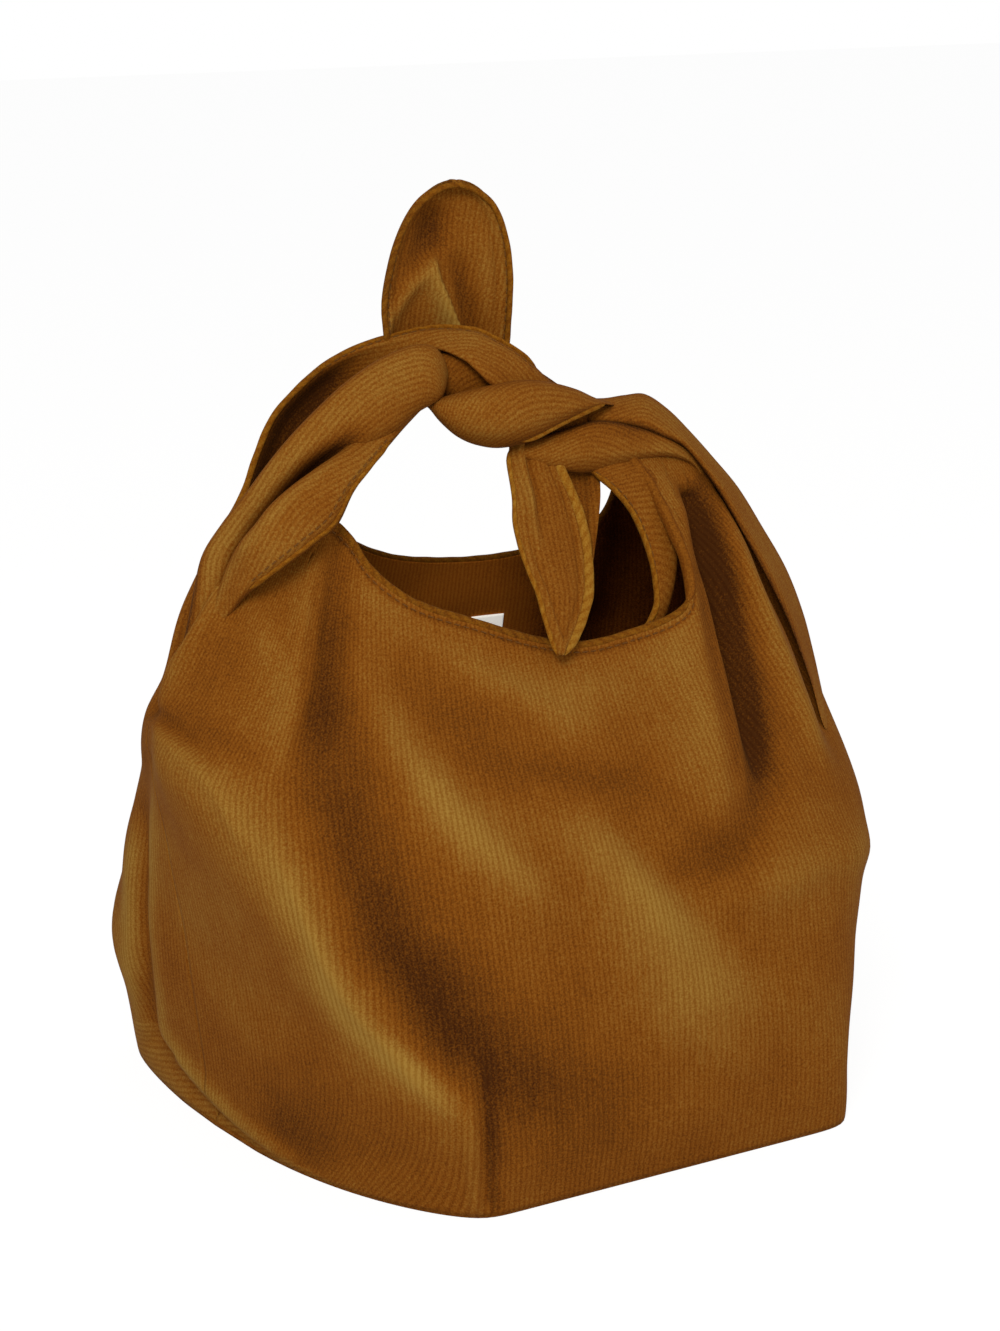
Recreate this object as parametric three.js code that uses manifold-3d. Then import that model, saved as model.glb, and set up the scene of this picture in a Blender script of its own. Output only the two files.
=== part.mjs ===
// A soft corduroy tote whose two side ears rise into straps and are tied in a knot above the mouth.
// Millimetres, +Z up, the front panel towards -Y. The origin is the middle of the base, on the ground.
import * as THREE from 'three';
import { mergeVertices } from 'three/addons/utils/BufferGeometryUtils.js';
import Module from 'manifold-3d';

// Driving sizes of the bag
const BODY_WIDTH = 320;
const BODY_DEPTH = 240;
const FRONT_RIM_HEIGHT = 228;
const BACK_RIM_HEIGHT = 236;
const BEND_HEIGHT = 275;
const STRAP_REACH = 82;

// Fabric and sewing
const SHELL_THICKNESS = 1.6;
const LINING_THICKNESS = 1.2;
const BASE_THICKNESS = 2.0;
const HEM_ROLL_RADIUS = 2.4;
const FIT_GAP = 0.3;
const BEND_CLEARANCE = 14;
const FOLD_FADE = 0.1;

// Straps, knot, tails and label
const STRAP_HALF_DEPTH = 9;
const BAND_HALF_DEPTH = 3.2;
const KNOT_HALF_DEPTH = 13;
const EAR_HALF_DEPTH = 34;
const WRAP_RADIUS = 14;
const UPPER_TAIL_LENGTH = 60;
const UPPER_TAIL_WIDTH = 61;
const LOWER_TAIL_LENGTH = 74;
const LOWER_TAIL_WIDTH = 42;
const TAIL_THICKNESS = 3.0;
const TAIL_GATHER = 0.55;
const LABEL_WIDTH = 24;
const LABEL_HEIGHT = 16;
const LABEL_THICKNESS = 0.6;
const LABEL_TOP = 204;
const LABEL_PLACE = 0.19;

const HALF_WIDTH = BODY_WIDTH / 2;
const HALF_DEPTH = BODY_DEPTH / 2;
const GIRTH_SHARE = 0.42;
const HALF_GIRTH = GIRTH_SHARE * (BODY_WIDTH + BODY_DEPTH);
const BEND_LOW = BEND_HEIGHT - BEND_CLEARANCE;
const BEND_HIGH = BEND_HEIGHT + BEND_CLEARANCE;
const PANEL_FOOT = BASE_THICKNESS + FIT_GAP;
const SEAM_MITRE = 1.25;
const BAND_SQUARENESS = 0.8;
const NEARBY_PLACE = 0.02;
const NEAR_MIDDLE = 0.1;
const MERGE_DISTANCE = 1e-4;

// How finely the curved pieces are faceted
const SECTION_STEPS = 48;
const FRONT_COLUMNS = [[-1.00, 14], [-0.30, 7], [0.25, 17], [0.90, 2], [1.00, 0]];
const BACK_COLUMNS = [[-1.00, 11], [-0.35, 6], [0.35, 11], [1.00, 0]];
const FRONT_ROWS = 16;
const BACK_ROWS = 13;
const OUTLINE_STEPS = 30;
const RIM_SAMPLES = 300;
const EAR_COLUMNS = 10;
const EAR_ROWS = 5;
const ROLL_STEPS = 30;
const ROLL_SIDES = 8;
const BAND_SIDES = 16;
const OVER_BAND_STEPS = 28;
const LEFT_STRAP_STEPS = 22;
const RIGHT_STRAP_STEPS = 20;
const WRAP_STEPS = 18;
const LEAF_STEPS = 16;
const LEAF_COLUMNS = 4;
const LABEL_COLUMNS = 4;
const LABEL_ROWS = 3;
const HALVINGS = 24;

// Body sections from the ground up. Heights are shares of the bend height, x and y of the half width
// and half depth. Each row: height, left x at the front, left x at the back, how fast the left side
// reaches its back value, right x at the front, right x at the back, how far the right side bows out,
// front y, back y, then the roundness of the sides and of the front and back.
const SECTIONS = [
  [0.000, -0.500, -0.925, 3.5, 0.775, 0.785, 0.03, -1.130, 0.905, 22.0, 6.0],
  [0.110, -0.530, -0.965, 3.0, 0.806, 0.815, 0.03, -1.160, 0.933, 11.0, 6.0],
  [0.273, -0.660, -1.025, 2.2, 0.880, 0.866, 0.08, -1.125, 0.933, 5.4, 4.8],
  [0.473, -0.920, -1.040, 1.4, 1.010, 0.912, 0.10, -1.010, 0.850, 3.6, 3.4],
  [0.636, -1.095, -0.995, 1.0, 1.030, 0.920, 0.04, -0.830, 0.700, 2.8, 2.4],
  [0.716, -1.105, -0.985, 1.0, 1.025, 0.910, 0.03, -0.700, 0.620, 2.6, 2.1],
  [0.782, -1.045, -0.940, 1.0, 1.010, 0.900, 0.02, -0.600, 0.550, 2.4, 1.9],
  [0.909, -0.960, -0.870, 1.0, 0.935, 0.840, 0.00, -0.460, 0.450, 2.2, 1.8],
  [1.060, -0.800, -0.725, 1.0, 0.735, 0.655, 0.00, -0.260, 0.320, 2.1, 1.8],
];

// Rim lines. Each row: place between the left seam (-1) and the right seam (1), and how far the rim
// has risen from its lowest point to the top of the bend.
const FRONT_RIM = [
  [-0.68, 1.00], [-0.58, 0.84], [-0.50, 0.63], [-0.38, 0.42], [-0.21, 0.24], [-0.06, 0.08],
  [0.06, 0.00], [0.20, 0.02], [0.32, 0.08], [0.40, 0.20], [0.45, 0.42], [0.48, 0.68], [0.52, 1.00],
];
const BACK_RIM = [
  [-0.62, 1.00], [-0.50, 0.78], [-0.38, 0.53], [-0.20, 0.22], [-0.03, 0.06],
  [0.14, 0.00], [0.30, 0.03], [0.42, 0.14], [0.52, 0.50], [0.60, 1.00],
];

// The folds in which the cloth hangs. Each line has rows of place, height as a share of the bend height
// and rise, which is above nothing on a ridge and below it in a valley. Its widths are those on its left
// and on its right hand when it is walked from its first row.
const FRONT_FOLDS = [
  {
    left: 12,
    right: 26,
    line: [[-0.99, 0.730, 0], [-0.93, 0.715, 3.5], [-0.80, 0.685, 4.5], [-0.705, 0.635, 4.5],
      [-0.635, 0.56, 5], [-0.59, 0.48, 5.5], [-0.555, 0.40, 5.5], [-0.505, 0.32, 5], [-0.44, 0.24, 4.5],
      [-0.38, 0.18, 3.5], [-0.345, 0.12, 2], [-0.34, 0.04, 0]],
  },
  {
    left: 20,
    right: 12,
    line: [[-0.60, 0.80, 0], [-0.565, 0.70, -3], [-0.535, 0.61, -5], [-0.505, 0.51, -6],
      [-0.445, 0.39, -6], [-0.36, 0.28, -4.5], [-0.25, 0.20, -2.5], [-0.12, 0.14, 0]],
  },
  {
    left: 14,
    right: 20,
    line: [[-0.16, 0.64, 0], [-0.04, 0.556, 3], [0.01, 0.49, 4], [0.05, 0.425, 4.5], [0.10, 0.335, 4.5],
      [0.20, 0.25, 3], [0.29, 0.17, 0]],
  },
  {
    left: 13,
    right: 15,
    line: [[-0.55, 0.89, 0], [-0.48, 0.81, 3], [-0.42, 0.74, 4], [-0.36, 0.68, 4.5], [-0.28, 0.59, 4.5],
      [-0.19, 0.52, 3.5], [-0.10, 0.43, 0]],
  },
  {
    left: 12,
    right: 6,
    line: [[-0.62, 1.01, -2], [-0.60, 0.956, -5], [-0.585, 0.88, -6.5], [-0.585, 0.796, -5.5],
      [-0.60, 0.705, -3.5], [-0.61, 0.63, -1], [-0.61, 0.58, 0]],
  },
  {
    left: 9,
    right: 20,
    line: [[0.56, 1.00, 3], [0.445, 0.916, 5], [0.37, 0.80, 6], [0.30, 0.69, 5.5], [0.255, 0.593, 3],
      [0.23, 0.527, 0]],
  },
  {
    left: 12,
    right: 7,
    line: [[0.66, 0.993, -8], [0.56, 0.91, -10], [0.52, 0.83, -11], [0.47, 0.742, -11],
      [0.405, 0.65, -9], [0.355, 0.575, -5], [0.315, 0.52, 0]],
  },
  {
    left: 10,
    right: 9,
    line: [[0.77, 0.98, 2], [0.68, 0.89, 4.5], [0.645, 0.79, 5], [0.605, 0.70, 4.5], [0.56, 0.612, 3],
      [0.53, 0.52, 0]],
  },
  {
    left: 9,
    right: 9,
    line: [[0.885, 1.00, -2], [0.82, 0.93, -5], [0.785, 0.847, -5.5], [0.765, 0.75, -5],
      [0.69, 0.66, -3.5], [0.60, 0.56, 0]],
  },
  {
    left: 13,
    right: 7,
    line: [[0.09, 0.50, 0], [0.16, 0.488, -3], [0.22, 0.487, -4.5], [0.28, 0.503, -5],
      [0.33, 0.535, -3.5], [0.36, 0.575, 0]],
  },
  {
    left: 9,
    right: 11,
    line: [[0.62, 0.42, 3], [0.45, 0.45, 3], [0.33, 0.44, 3], [0.22, 0.435, 2], [0.13, 0.43, 0]],
  },
];
const BACK_FOLDS = [
  {
    left: 12,
    right: 10,
    line: [[-0.60, 0.97, -4], [-0.52, 0.86, -6], [-0.44, 0.73, -6], [-0.38, 0.60, -3], [-0.34, 0.50, 0]],
  },
  {
    left: 12,
    right: 14,
    line: [[-0.74, 0.98, 3], [-0.66, 0.85, 5], [-0.58, 0.72, 5], [-0.50, 0.58, 4], [-0.42, 0.42, 2.5],
      [-0.36, 0.28, 0]],
  },
  {
    left: 9,
    right: 9,
    line: [[-0.88, 0.95, -2], [-0.82, 0.82, -4], [-0.76, 0.70, -4], [-0.70, 0.58, 0]],
  },
  {
    left: 10,
    right: 12,
    line: [[0.56, 0.97, -4], [0.50, 0.86, -6], [0.43, 0.74, -6], [0.36, 0.62, -3], [0.30, 0.52, 0]],
  },
  {
    left: 14,
    right: 12,
    line: [[0.70, 0.98, 3], [0.63, 0.85, 5], [0.56, 0.72, 5], [0.50, 0.58, 4], [0.44, 0.42, 2],
      [0.40, 0.30, 0]],
  },
  {
    left: 9,
    right: 9,
    line: [[0.86, 0.95, -3], [0.80, 0.82, -4.5], [0.74, 0.70, -4.5], [0.68, 0.58, 0]],
  },
  {
    left: 30,
    right: 30,
    line: [[-0.10, 0.80, 0], [-0.02, 0.62, -3], [0.02, 0.45, -3.5], [0.05, 0.28, 0]],
  },
  {
    left: 14,
    right: 14,
    line: [[-0.45, 0.55, 0], [-0.55, 0.40, 3], [-0.66, 0.25, 3.5], [-0.74, 0.12, 0]],
  },
  {
    left: 14,
    right: 14,
    line: [[0.45, 0.50, 0], [0.56, 0.36, 3], [0.66, 0.22, 3.5], [0.74, 0.10, 0]],
  },
];

// Edges of the straps above the bend. Each row: x and y as shares of the half width and half depth, and
// the height above the bend as a share of the strap's reach.
const LEFT_STRAP_OUTER = [
  [-0.856, -0.042, 0.04], [-0.763, -0.067, 0.26], [-0.638, -0.100, 0.56],
  [-0.488, -0.117, 0.80], [-0.331, -0.100, 0.95], [-0.156, -0.070, 0.93],
  [-0.050, -0.010, 0.80], [0.060, 0.020, 0.66],
];
const LEFT_STRAP_INNER = [
  [-0.581, -0.317, 0.04], [-0.500, -0.267, 0.23], [-0.438, -0.233, 0.38],
  [-0.375, -0.192, 0.49], [-0.262, -0.150, 0.65], [-0.169, -0.100, 0.68],
  [-0.060, -0.020, 0.54], [0.030, 0.010, 0.46],
];
const OVER_BAND_OUTER = [
  [-0.775, 0.200, -0.04], [-0.675, 0.233, 0.22], [-0.569, 0.233, 0.57],
  [-0.419, 0.217, 0.82], [-0.256, 0.167, 0.94], [-0.144, 0.100, 0.99],
  [-0.038, 0.017, 0.98], [0.069, -0.067, 0.87], [0.162, -0.117, 0.68],
];
const OVER_BAND_INNER = [
  [-0.512, 0.283, -0.04], [-0.475, 0.267, 0.26], [-0.400, 0.250, 0.50],
  [-0.300, 0.200, 0.67], [-0.212, 0.100, 0.79], [-0.156, -0.017, 0.88],
  [-0.112, -0.117, 0.83], [-0.062, -0.167, 0.72], [0.000, -0.183, 0.57],
];
const RIGHT_STRAP_OUTER = [
  [0.770, 0.017, 0.06], [0.690, 0.017, 0.23], [0.600, 0.000, 0.39],
  [0.488, -0.025, 0.50], [0.362, -0.050, 0.57], [0.238, -0.075, 0.63], [0.112, -0.083, 0.71],
];
const RIGHT_STRAP_INNER = [
  [0.350, 0.000, 0.04], [0.338, -0.033, 0.13], [0.300, -0.067, 0.18],
  [0.238, -0.083, 0.21], [0.162, -0.100, 0.23], [0.075, -0.108, 0.29], [0.000, -0.108, 0.38],
];

// The knot's wrap: middle points as above, then the radius as a share of the largest.
const WRAP_ROUTE = [
  [-0.212, -0.042, 0.62, 0.20], [-0.125, -0.060, 0.55, 0.80], [-0.025, -0.070, 0.56, 1.00],
  [0.138, -0.070, 0.59, 0.82], [0.306, -0.060, 0.57, 0.20],
];

// Tails: the place of the fold at the root, then rows of length share, sideways shift and lean as shares
// of the tail's own length, and width share.
const UPPER_TAIL_ROOT = [-0.074, 0.175, 1.01];
const UPPER_TAIL_SHAPE = [
  [0.00, 0.00, 0.00, 0.95], [0.25, 0.02, 0.03, 1.00], [0.50, 0.05, 0.04, 0.96],
  [0.75, 0.09, 0.03, 0.78], [0.90, 0.12, 0.01, 0.52], [1.00, 0.14, 0.00, 0.14],
];
const LOWER_TAIL_ROOT = [0.125, -0.225, 0.14];
const KNOT_MIDDLE = [0.080, -0.040, 0.58];
const LOWER_TAIL_SHAPE = [
  [0.00, 0.00, 0.00, 1.00], [0.25, -0.06, -0.16, 0.98], [0.50, -0.14, -0.32, 0.84],
  [0.75, -0.20, -0.50, 0.54], [0.92, -0.24, -0.60, 0.26], [1.00, -0.26, -0.63, 0.08],
];

const CORDUROY = { color: 0x8a5a22, roughness: 0.95, metalness: 0 };
const CORDUROY_INSIDE = { color: 0x6b4018, roughness: 0.95, metalness: 0 };
const CORDUROY_HEM = { color: 0x9c6a2c, roughness: 0.95, metalness: 0 };
const LABEL_CLOTH = { color: 0xf2efe8, roughness: 0.8, metalness: 0 };

const wasm = await Module();
wasm.setup();

const bag = new THREE.Group();

function lerp(a, b, k) {
  return a + (b - a) * k;
}

// A smooth curve through rows of values, the first value of each row being its key.
function smoothRow(rows, key) {
  const last = rows.length - 1;
  let i = 0;
  while (i < last - 1 && key > rows[i + 1][0]) i += 1;
  const slope = (j, c) => {
    const a = rows[Math.max(j - 1, 0)];
    const b = rows[Math.min(j + 1, last)];
    return (b[c] - a[c]) / (b[0] - a[0]);
  };
  const span = rows[i + 1][0] - rows[i][0];
  const s = THREE.MathUtils.clamp((key - rows[i][0]) / span, 0, 1);
  const s2 = s * s;
  const s3 = s2 * s;
  return rows[i].map((value, c) => {
    const start = value * (2 * s3 - 3 * s2 + 1) + slope(i, c) * span * (s3 - 2 * s2 + s);
    const end = rows[i + 1][c] * (3 * s2 - 2 * s3) + slope(i + 1, c) * span * (s3 - s2);
    return start + end;
  });
}

// One quarter of a body section, from the front or back middle to a side seam, as [x, y] points.
function quarterSection(height, side, face) {
  const row = smoothRow(SECTIONS, height / BEND_HEIGHT);
  const [, leftFront, leftBack, leftRate, rightFront, rightBack, rightBow, ...rest] = row;
  const [front, back, round, flat] = rest;
  const points = [];
  for (let i = 0; i <= SECTION_STEPS; i += 1) {
    const angle = (Math.PI / 2) * (i / SECTION_STEPS);
    const p = Math.sin(angle) ** (2 / round);
    const q = face * Math.cos(angle) ** (2 / flat);
    const depth = (q + 1) / 2;
    const left = lerp(leftFront, leftBack, 1 - (1 - depth) ** leftRate);
    const right = lerp(rightFront, rightBack, depth) + rightBow * (1 - q * q);
    const x = side < 0 ? left * p : right * p;
    const y = face < 0 ? -front * q : back * q;
    points.push([x * HALF_WIDTH, y * HALF_DEPTH]);
  }
  return points;
}

// Quarter sections are asked for many times over, so each is worked out once.
const knownSections = new Map();

function sectionAt(height, side, face) {
  const key = [height, side, face].join();
  if (!knownSections.has(key)) knownSections.set(key, quarterSection(height, side, face));
  return knownSections.get(key);
}

// The point at a share of a polyline's length.
function alongLine(points, share) {
  const lengths = [0];
  for (let i = 1; i < points.length; i += 1) {
    const [x, y] = points[i - 1];
    lengths.push(lengths[i - 1] + Math.hypot(points[i][0] - x, points[i][1] - y));
  }
  const wanted = share * lengths[lengths.length - 1];
  let i = 1;
  while (i < lengths.length - 1 && lengths[i] < wanted) i += 1;
  const k = (wanted - lengths[i - 1]) / (lengths[i] - lengths[i - 1]);
  return [lerp(points[i - 1][0], points[i][0], k), lerp(points[i - 1][1], points[i][1], k)];
}

// A point of the shell without its folds. place runs from the left seam (-1) to the right seam (1), face
// is -1 for the front half and 1 for the back half.
function plainPoint(place, face, height) {
  const side = place < 0 ? -1 : 1;
  const [x, y] = alongLine(sectionAt(height, side, face), Math.abs(place));
  return new THREE.Vector3(x, y, height);
}

// The level direction into the bag, square to a surface given as a function of place.
function inwardFrom(pointAt, place, face) {
  const a = pointAt(Math.max(place - NEARBY_PLACE, -1));
  const b = pointAt(Math.min(place + NEARBY_PLACE, 1));
  const inward = new THREE.Vector3(-(b.y - a.y), b.x - a.x, 0).normalize();
  return face > 0 ? inward.negate() : inward;
}

// How far one fold lifts the cloth: its rise at the nearest place of its line, falling off to the side
// as a bell of its width.
function bellOf({ left, right, line }, place, share) {
  let nearest = { away: Infinity, rise: 0, width: left };
  for (let i = 1; i < line.length; i += 1) {
    const [fromPlace, fromShare, fromRise] = line[i - 1];
    const [toPlace, toShare, toRise] = line[i];
    const start = new THREE.Vector2(fromPlace * HALF_GIRTH, fromShare * BEND_HEIGHT);
    const along = new THREE.Vector2(toPlace * HALF_GIRTH, toShare * BEND_HEIGHT).sub(start);
    const offset = new THREE.Vector2(place * HALF_GIRTH, share * BEND_HEIGHT).sub(start);
    const k = THREE.MathUtils.clamp(offset.dot(along) / along.lengthSq(), 0, 1);
    const away = offset.clone().addScaledVector(along, -k).length();
    const width = along.cross(offset) > 0 ? left : right;
    if (away < nearest.away) nearest = { away, rise: lerp(fromRise, toRise, k), width };
  }
  return nearest.rise * Math.exp(-((nearest.away / nearest.width) ** 2));
}

// The lift of all folds, which fade towards the seams and the foot.
function foldRise(place, face, height) {
  const share = height / BEND_HEIGHT;
  const folds = face < 0 ? FRONT_FOLDS : BACK_FOLDS;
  const seamFade = THREE.MathUtils.smoothstep(1 - Math.abs(place), 0, FOLD_FADE);
  const footFade = THREE.MathUtils.smoothstep(share, 0, FOLD_FADE);
  return seamFade * footFade * folds.reduce((sum, fold) => sum + bellOf(fold, place, share), 0);
}

function shellPoint(place, face, height) {
  const plainAt = (p) => plainPoint(p, face, height);
  const inward = inwardFrom(plainAt, place, face);
  return plainAt(place).addScaledVector(inward, -foldRise(place, face, height));
}

// A point of the shell moved into the bag, square to it, at the same height. At a side seam the two
// halves meet in a mitre.
function insetPoint(place, face, height, inset) {
  const point = shellPoint(place, face, height);
  if (Math.abs(place) === 1) return point.setX(point.x - place * inset * SEAM_MITRE);
  return point.addScaledVector(inwardFrom((p) => shellPoint(p, face, height), place, face), inset);
}

function rimHeight(rows, lowest, place) {
  if (place <= rows[0][0] || place >= rows[rows.length - 1][0]) return BEND_HIGH;
  return lerp(lowest, BEND_HIGH, smoothRow(rows, place)[1]);
}

function frontRim(place) {
  return rimHeight(FRONT_RIM, FRONT_RIM_HEIGHT, place);
}

function backRim(place) {
  return rimHeight(BACK_RIM, BACK_RIM_HEIGHT, place);
}

// The place where the rim reaches a height, between two places.
function rimPlace(rim, height, from, to) {
  let low = from;
  let high = to;
  const rising = rim(to) > rim(from);
  for (let i = 0; i < HALVINGS; i += 1) {
    const middle = (low + high) / 2;
    if ((rim(middle) < height) === rising) low = middle;
    else high = middle;
  }
  return (low + high) / 2;
}

// The place of a rim's lowest point.
function rimLowest(rim) {
  const places = spread(-1, 1, RIM_SAMPLES);
  return places.reduce((best, place) => (rim(place) < rim(best) ? place : best), 0);
}

function solidGeometry(vertices, triangles) {
  const geometry = new THREE.BufferGeometry();
  const numbers = vertices.flatMap((p) => [p.x, p.y, p.z]);
  geometry.setAttribute('position', new THREE.Float32BufferAttribute(numbers, 3));
  geometry.setIndex(triangles.flat());
  return geometry;
}

// A closed sheet between an outer and an inner grid of points with the same rows and columns.
function sheetGeometry(outer, inner) {
  const rows = outer.length;
  const columns = outer[0].length;
  const vertices = [...outer.flat(), ...inner.flat()];
  const at = (layer, r, c) => layer * rows * columns + r * columns + c;
  const triangles = [];
  const quad = (a, b, c, d) => triangles.push([a, b, c], [a, c, d]);
  for (let r = 0; r < rows - 1; r += 1) {
    for (let c = 0; c < columns - 1; c += 1) {
      quad(at(0, r, c), at(0, r, c + 1), at(0, r + 1, c + 1), at(0, r + 1, c));
      quad(at(1, r, c), at(1, r + 1, c), at(1, r + 1, c + 1), at(1, r, c + 1));
    }
  }
  for (let c = 0; c < columns - 1; c += 1) {
    quad(at(0, 0, c), at(1, 0, c), at(1, 0, c + 1), at(0, 0, c + 1));
    quad(at(0, rows - 1, c), at(0, rows - 1, c + 1), at(1, rows - 1, c + 1), at(1, rows - 1, c));
  }
  for (let r = 0; r < rows - 1; r += 1) {
    quad(at(0, r, 0), at(0, r + 1, 0), at(1, r + 1, 0), at(1, r, 0));
    const last = columns - 1;
    quad(at(0, r, last), at(1, r, last), at(1, r + 1, last), at(0, r + 1, last));
  }
  return solidGeometry(vertices, triangles);
}

// A closed tube through rings of points, each ring counter-clockwise seen from its far end.
function tubeGeometry(rings) {
  const count = rings[0].length;
  const vertices = rings.flat();
  const triangles = [];
  for (let r = 0; r < rings.length - 1; r += 1) {
    for (let i = 0; i < count; i += 1) {
      const a = r * count + i;
      const b = r * count + (i + 1) % count;
      triangles.push([a, b, b + count], [a, b + count, a + count]);
    }
  }
  [0, rings.length - 1].forEach((r, end) => {
    const middle = rings[r].reduce((sum, p) => sum.add(p), new THREE.Vector3()).divideScalar(count);
    vertices.push(middle);
    for (let i = 0; i < count; i += 1) {
      const a = r * count + i;
      const b = r * count + (i + 1) % count;
      triangles.push(end === 0 ? [b, a, vertices.length - 1] : [a, b, vertices.length - 1]);
    }
  });
  return solidGeometry(vertices, triangles);
}

function toSolid(geometry) {
  const plain = geometry.clone();
  plain.deleteAttribute('normal');
  plain.deleteAttribute('uv');
  const merged = mergeVertices(plain, MERGE_DISTANCE);
  return new wasm.Manifold(new wasm.Mesh({
    numProp: 3,
    vertProperties: new Float32Array(merged.attributes.position.array),
    triVerts: new Uint32Array(merged.index.array),
  }));
}

function fromSolid(solid) {
  const mesh = solid.getMesh();
  const geometry = new THREE.BufferGeometry();
  geometry.setAttribute('position', new THREE.BufferAttribute(mesh.vertProperties, 3));
  geometry.setIndex(new THREE.BufferAttribute(mesh.triVerts, 1));
  return geometry;
}

// What is left of a piece once its neighbours' room is taken away: its largest body, without crumbs.
function cut(geometry, ...tools) {
  const left = tools.reduce((solid, tool) => solid.subtract(toSolid(tool)), toSolid(geometry));
  const bodies = left.decompose().sort((a, b) => b.volume() - a.volume());
  return fromSolid(bodies[0]);
}

// A place in the handle, from shares as in the tables above.
function handlePoint([x, y, z]) {
  return new THREE.Vector3(x * HALF_WIDTH, y * HALF_DEPTH, BEND_HEIGHT + z * STRAP_REACH);
}

// A closed band between two edges. Its section is a flattened round of the given half depths, which
// change evenly from start to end, and grow widens it all round for a clearance cut.
function bandGeometry(outerRows, innerRows, startDepth, endDepth, steps, grow = 0) {
  const outer = new THREE.CatmullRomCurve3(outerRows.map(handlePoint));
  const inner = new THREE.CatmullRomCurve3(innerRows.map(handlePoint));
  const middle = (k) => outer.getPoint(k).add(inner.getPoint(k)).multiplyScalar(0.5);
  const rings = spread(0, 1, steps).map((k) => {
    const centre = middle(k);
    const half = outer.getPoint(k).sub(inner.getPoint(k)).multiplyScalar(0.5);
    const next = middle(Math.min(k + NEARBY_PLACE / 2, 1));
    const ahead = next.sub(middle(Math.max(k - NEARBY_PLACE / 2, 0))).normalize();
    const across = half.clone().normalize();
    const out = across.clone().cross(ahead).normalize();
    const width = half.length() + grow;
    const depth = lerp(startDepth, endDepth, k) + grow;
    const end = (k === 0 ? -grow : 0) + (k === 1 ? grow : 0);
    return spread(0, 2 * Math.PI, BAND_SIDES).slice(0, -1).map((angle) => {
      const c = Math.sign(Math.cos(angle)) * Math.abs(Math.cos(angle)) ** BAND_SQUARENESS;
      const s = Math.sign(Math.sin(angle)) * Math.abs(Math.sin(angle)) ** BAND_SQUARENESS;
      return centre.clone().addScaledVector(across, width * c).addScaledVector(out, -depth * s)
        .addScaledVector(ahead, end);
    });
  });
  return tubeGeometry(rings);
}

function wrapGeometry(grow = 0) {
  const route = new THREE.CatmullRomCurve3(WRAP_ROUTE.map(handlePoint));
  const shares = WRAP_ROUTE.map((row, i) => [i / (WRAP_ROUTE.length - 1), row[3]]);
  const rings = spread(0, 1, WRAP_STEPS).map((k) => {
    const radius = smoothRow(shares, k)[1] * WRAP_RADIUS + grow;
    const ahead = route.getTangent(k);
    const across = new THREE.Vector3(0, 1, 0).cross(ahead).normalize();
    const out = ahead.clone().cross(across);
    const end = (k === 0 ? -grow : 0) + (k === 1 ? grow : 0);
    return spread(0, 2 * Math.PI, BAND_SIDES).slice(0, -1).map((angle) => route.getPoint(k)
      .addScaledVector(across, radius * Math.cos(angle))
      .addScaledVector(out, radius * Math.sin(angle))
      .addScaledVector(ahead, end));
  });
  return tubeGeometry(rings);
}

// A flat leaf whose root is rounded about the fold line, so that it turns there with an even gap.
// direction is 1 for a tail that stands up and -1 for one that hangs.
function tailGeometry(root, shape, length, width, direction) {
  const radius = TAIL_THICKNESS / 2;
  const origin = handlePoint(root);
  const rootSteps = spread(0, Math.PI / 2, LEAF_COLUMNS).map((angle) => [
    -radius * Math.cos(angle) / length, Math.max(radius * Math.sin(angle), FIT_GAP / 2)]);
  const leafSteps = spread(0, 1, LEAF_STEPS).slice(1).map((k) => [k, radius]);
  const rings = [...rootSteps, ...leafSteps].map(([k, half]) => {
    const [, shift, lean, share] = smoothRow(shape, k);
    const centre = origin.clone().add(new THREE.Vector3(shift * length, lean * length, 0));
    centre.z += direction * length * k * Math.sqrt(1 - shape[shape.length - 1][2] ** 2);
    const across = spread(-1, 1, LEAF_COLUMNS);
    const side = (b, list) => list.map((a) => (
      centre.clone().add(new THREE.Vector3(direction * a * share * width / 2, b * half, 0))));
    return [...side(-1, across), ...side(1, across.slice().reverse())];
  });
  return tubeGeometry(rings);
}

// The stretch between a tail's fold and the middle of the knot, narrowing as it is drawn in.
function tailRootGeometry(root, width, direction, end) {
  const fold = handlePoint(root);
  fold.z -= direction * (TAIL_THICKNESS / 2 + FIT_GAP);
  const knot = handlePoint(end);
  const rings = [0, 0.5, 1].map((k) => {
    const centre = fold.clone().lerp(knot, k);
    const half = width * lerp(1, TAIL_GATHER, k) / 2;
    const depth = TAIL_THICKNESS * lerp(1, 2, k) / 2;
    return [[-1, 1], [1, 1], [1, -1], [-1, -1]].map(([x, y]) => (
      new THREE.Vector3(centre.x + x * half, centre.y + direction * y * depth, centre.z)));
  });
  return tubeGeometry(rings);
}

// A block that fills everything on one side of a plane square to X or Z.
function beyond(axis, side, at) {
  const far = 4 * (BODY_WIDTH + BODY_DEPTH + BEND_HEIGHT);
  const shift = at + side * far / 2;
  const [x, z] = axis === 'x' ? [shift, 0] : [0, shift];
  return new THREE.BoxGeometry(far, far, far).translate(x, 0, z);
}

function above(geometry, height) {
  return cut(geometry, beyond('z', -1, height));
}

function add(name, geometry, material) {
  const mesh = new THREE.Mesh(geometry, new THREE.MeshStandardMaterial(material));
  mesh.name = name;
  bag.add(mesh);
}

function spread(from, to, steps) {
  return Array.from({ length: steps + 1 }, (_, i) => lerp(from, to, i / steps));
}

// Places with a given count of even steps from each row's start to the next one's.
function stepPlaces(rows) {
  const places = rows.slice(1).flatMap(([to], i) => spread(rows[i][0], to, rows[i][1]).slice(0, -1));
  return [...places, rows[rows.length - 1][0]];
}

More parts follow.
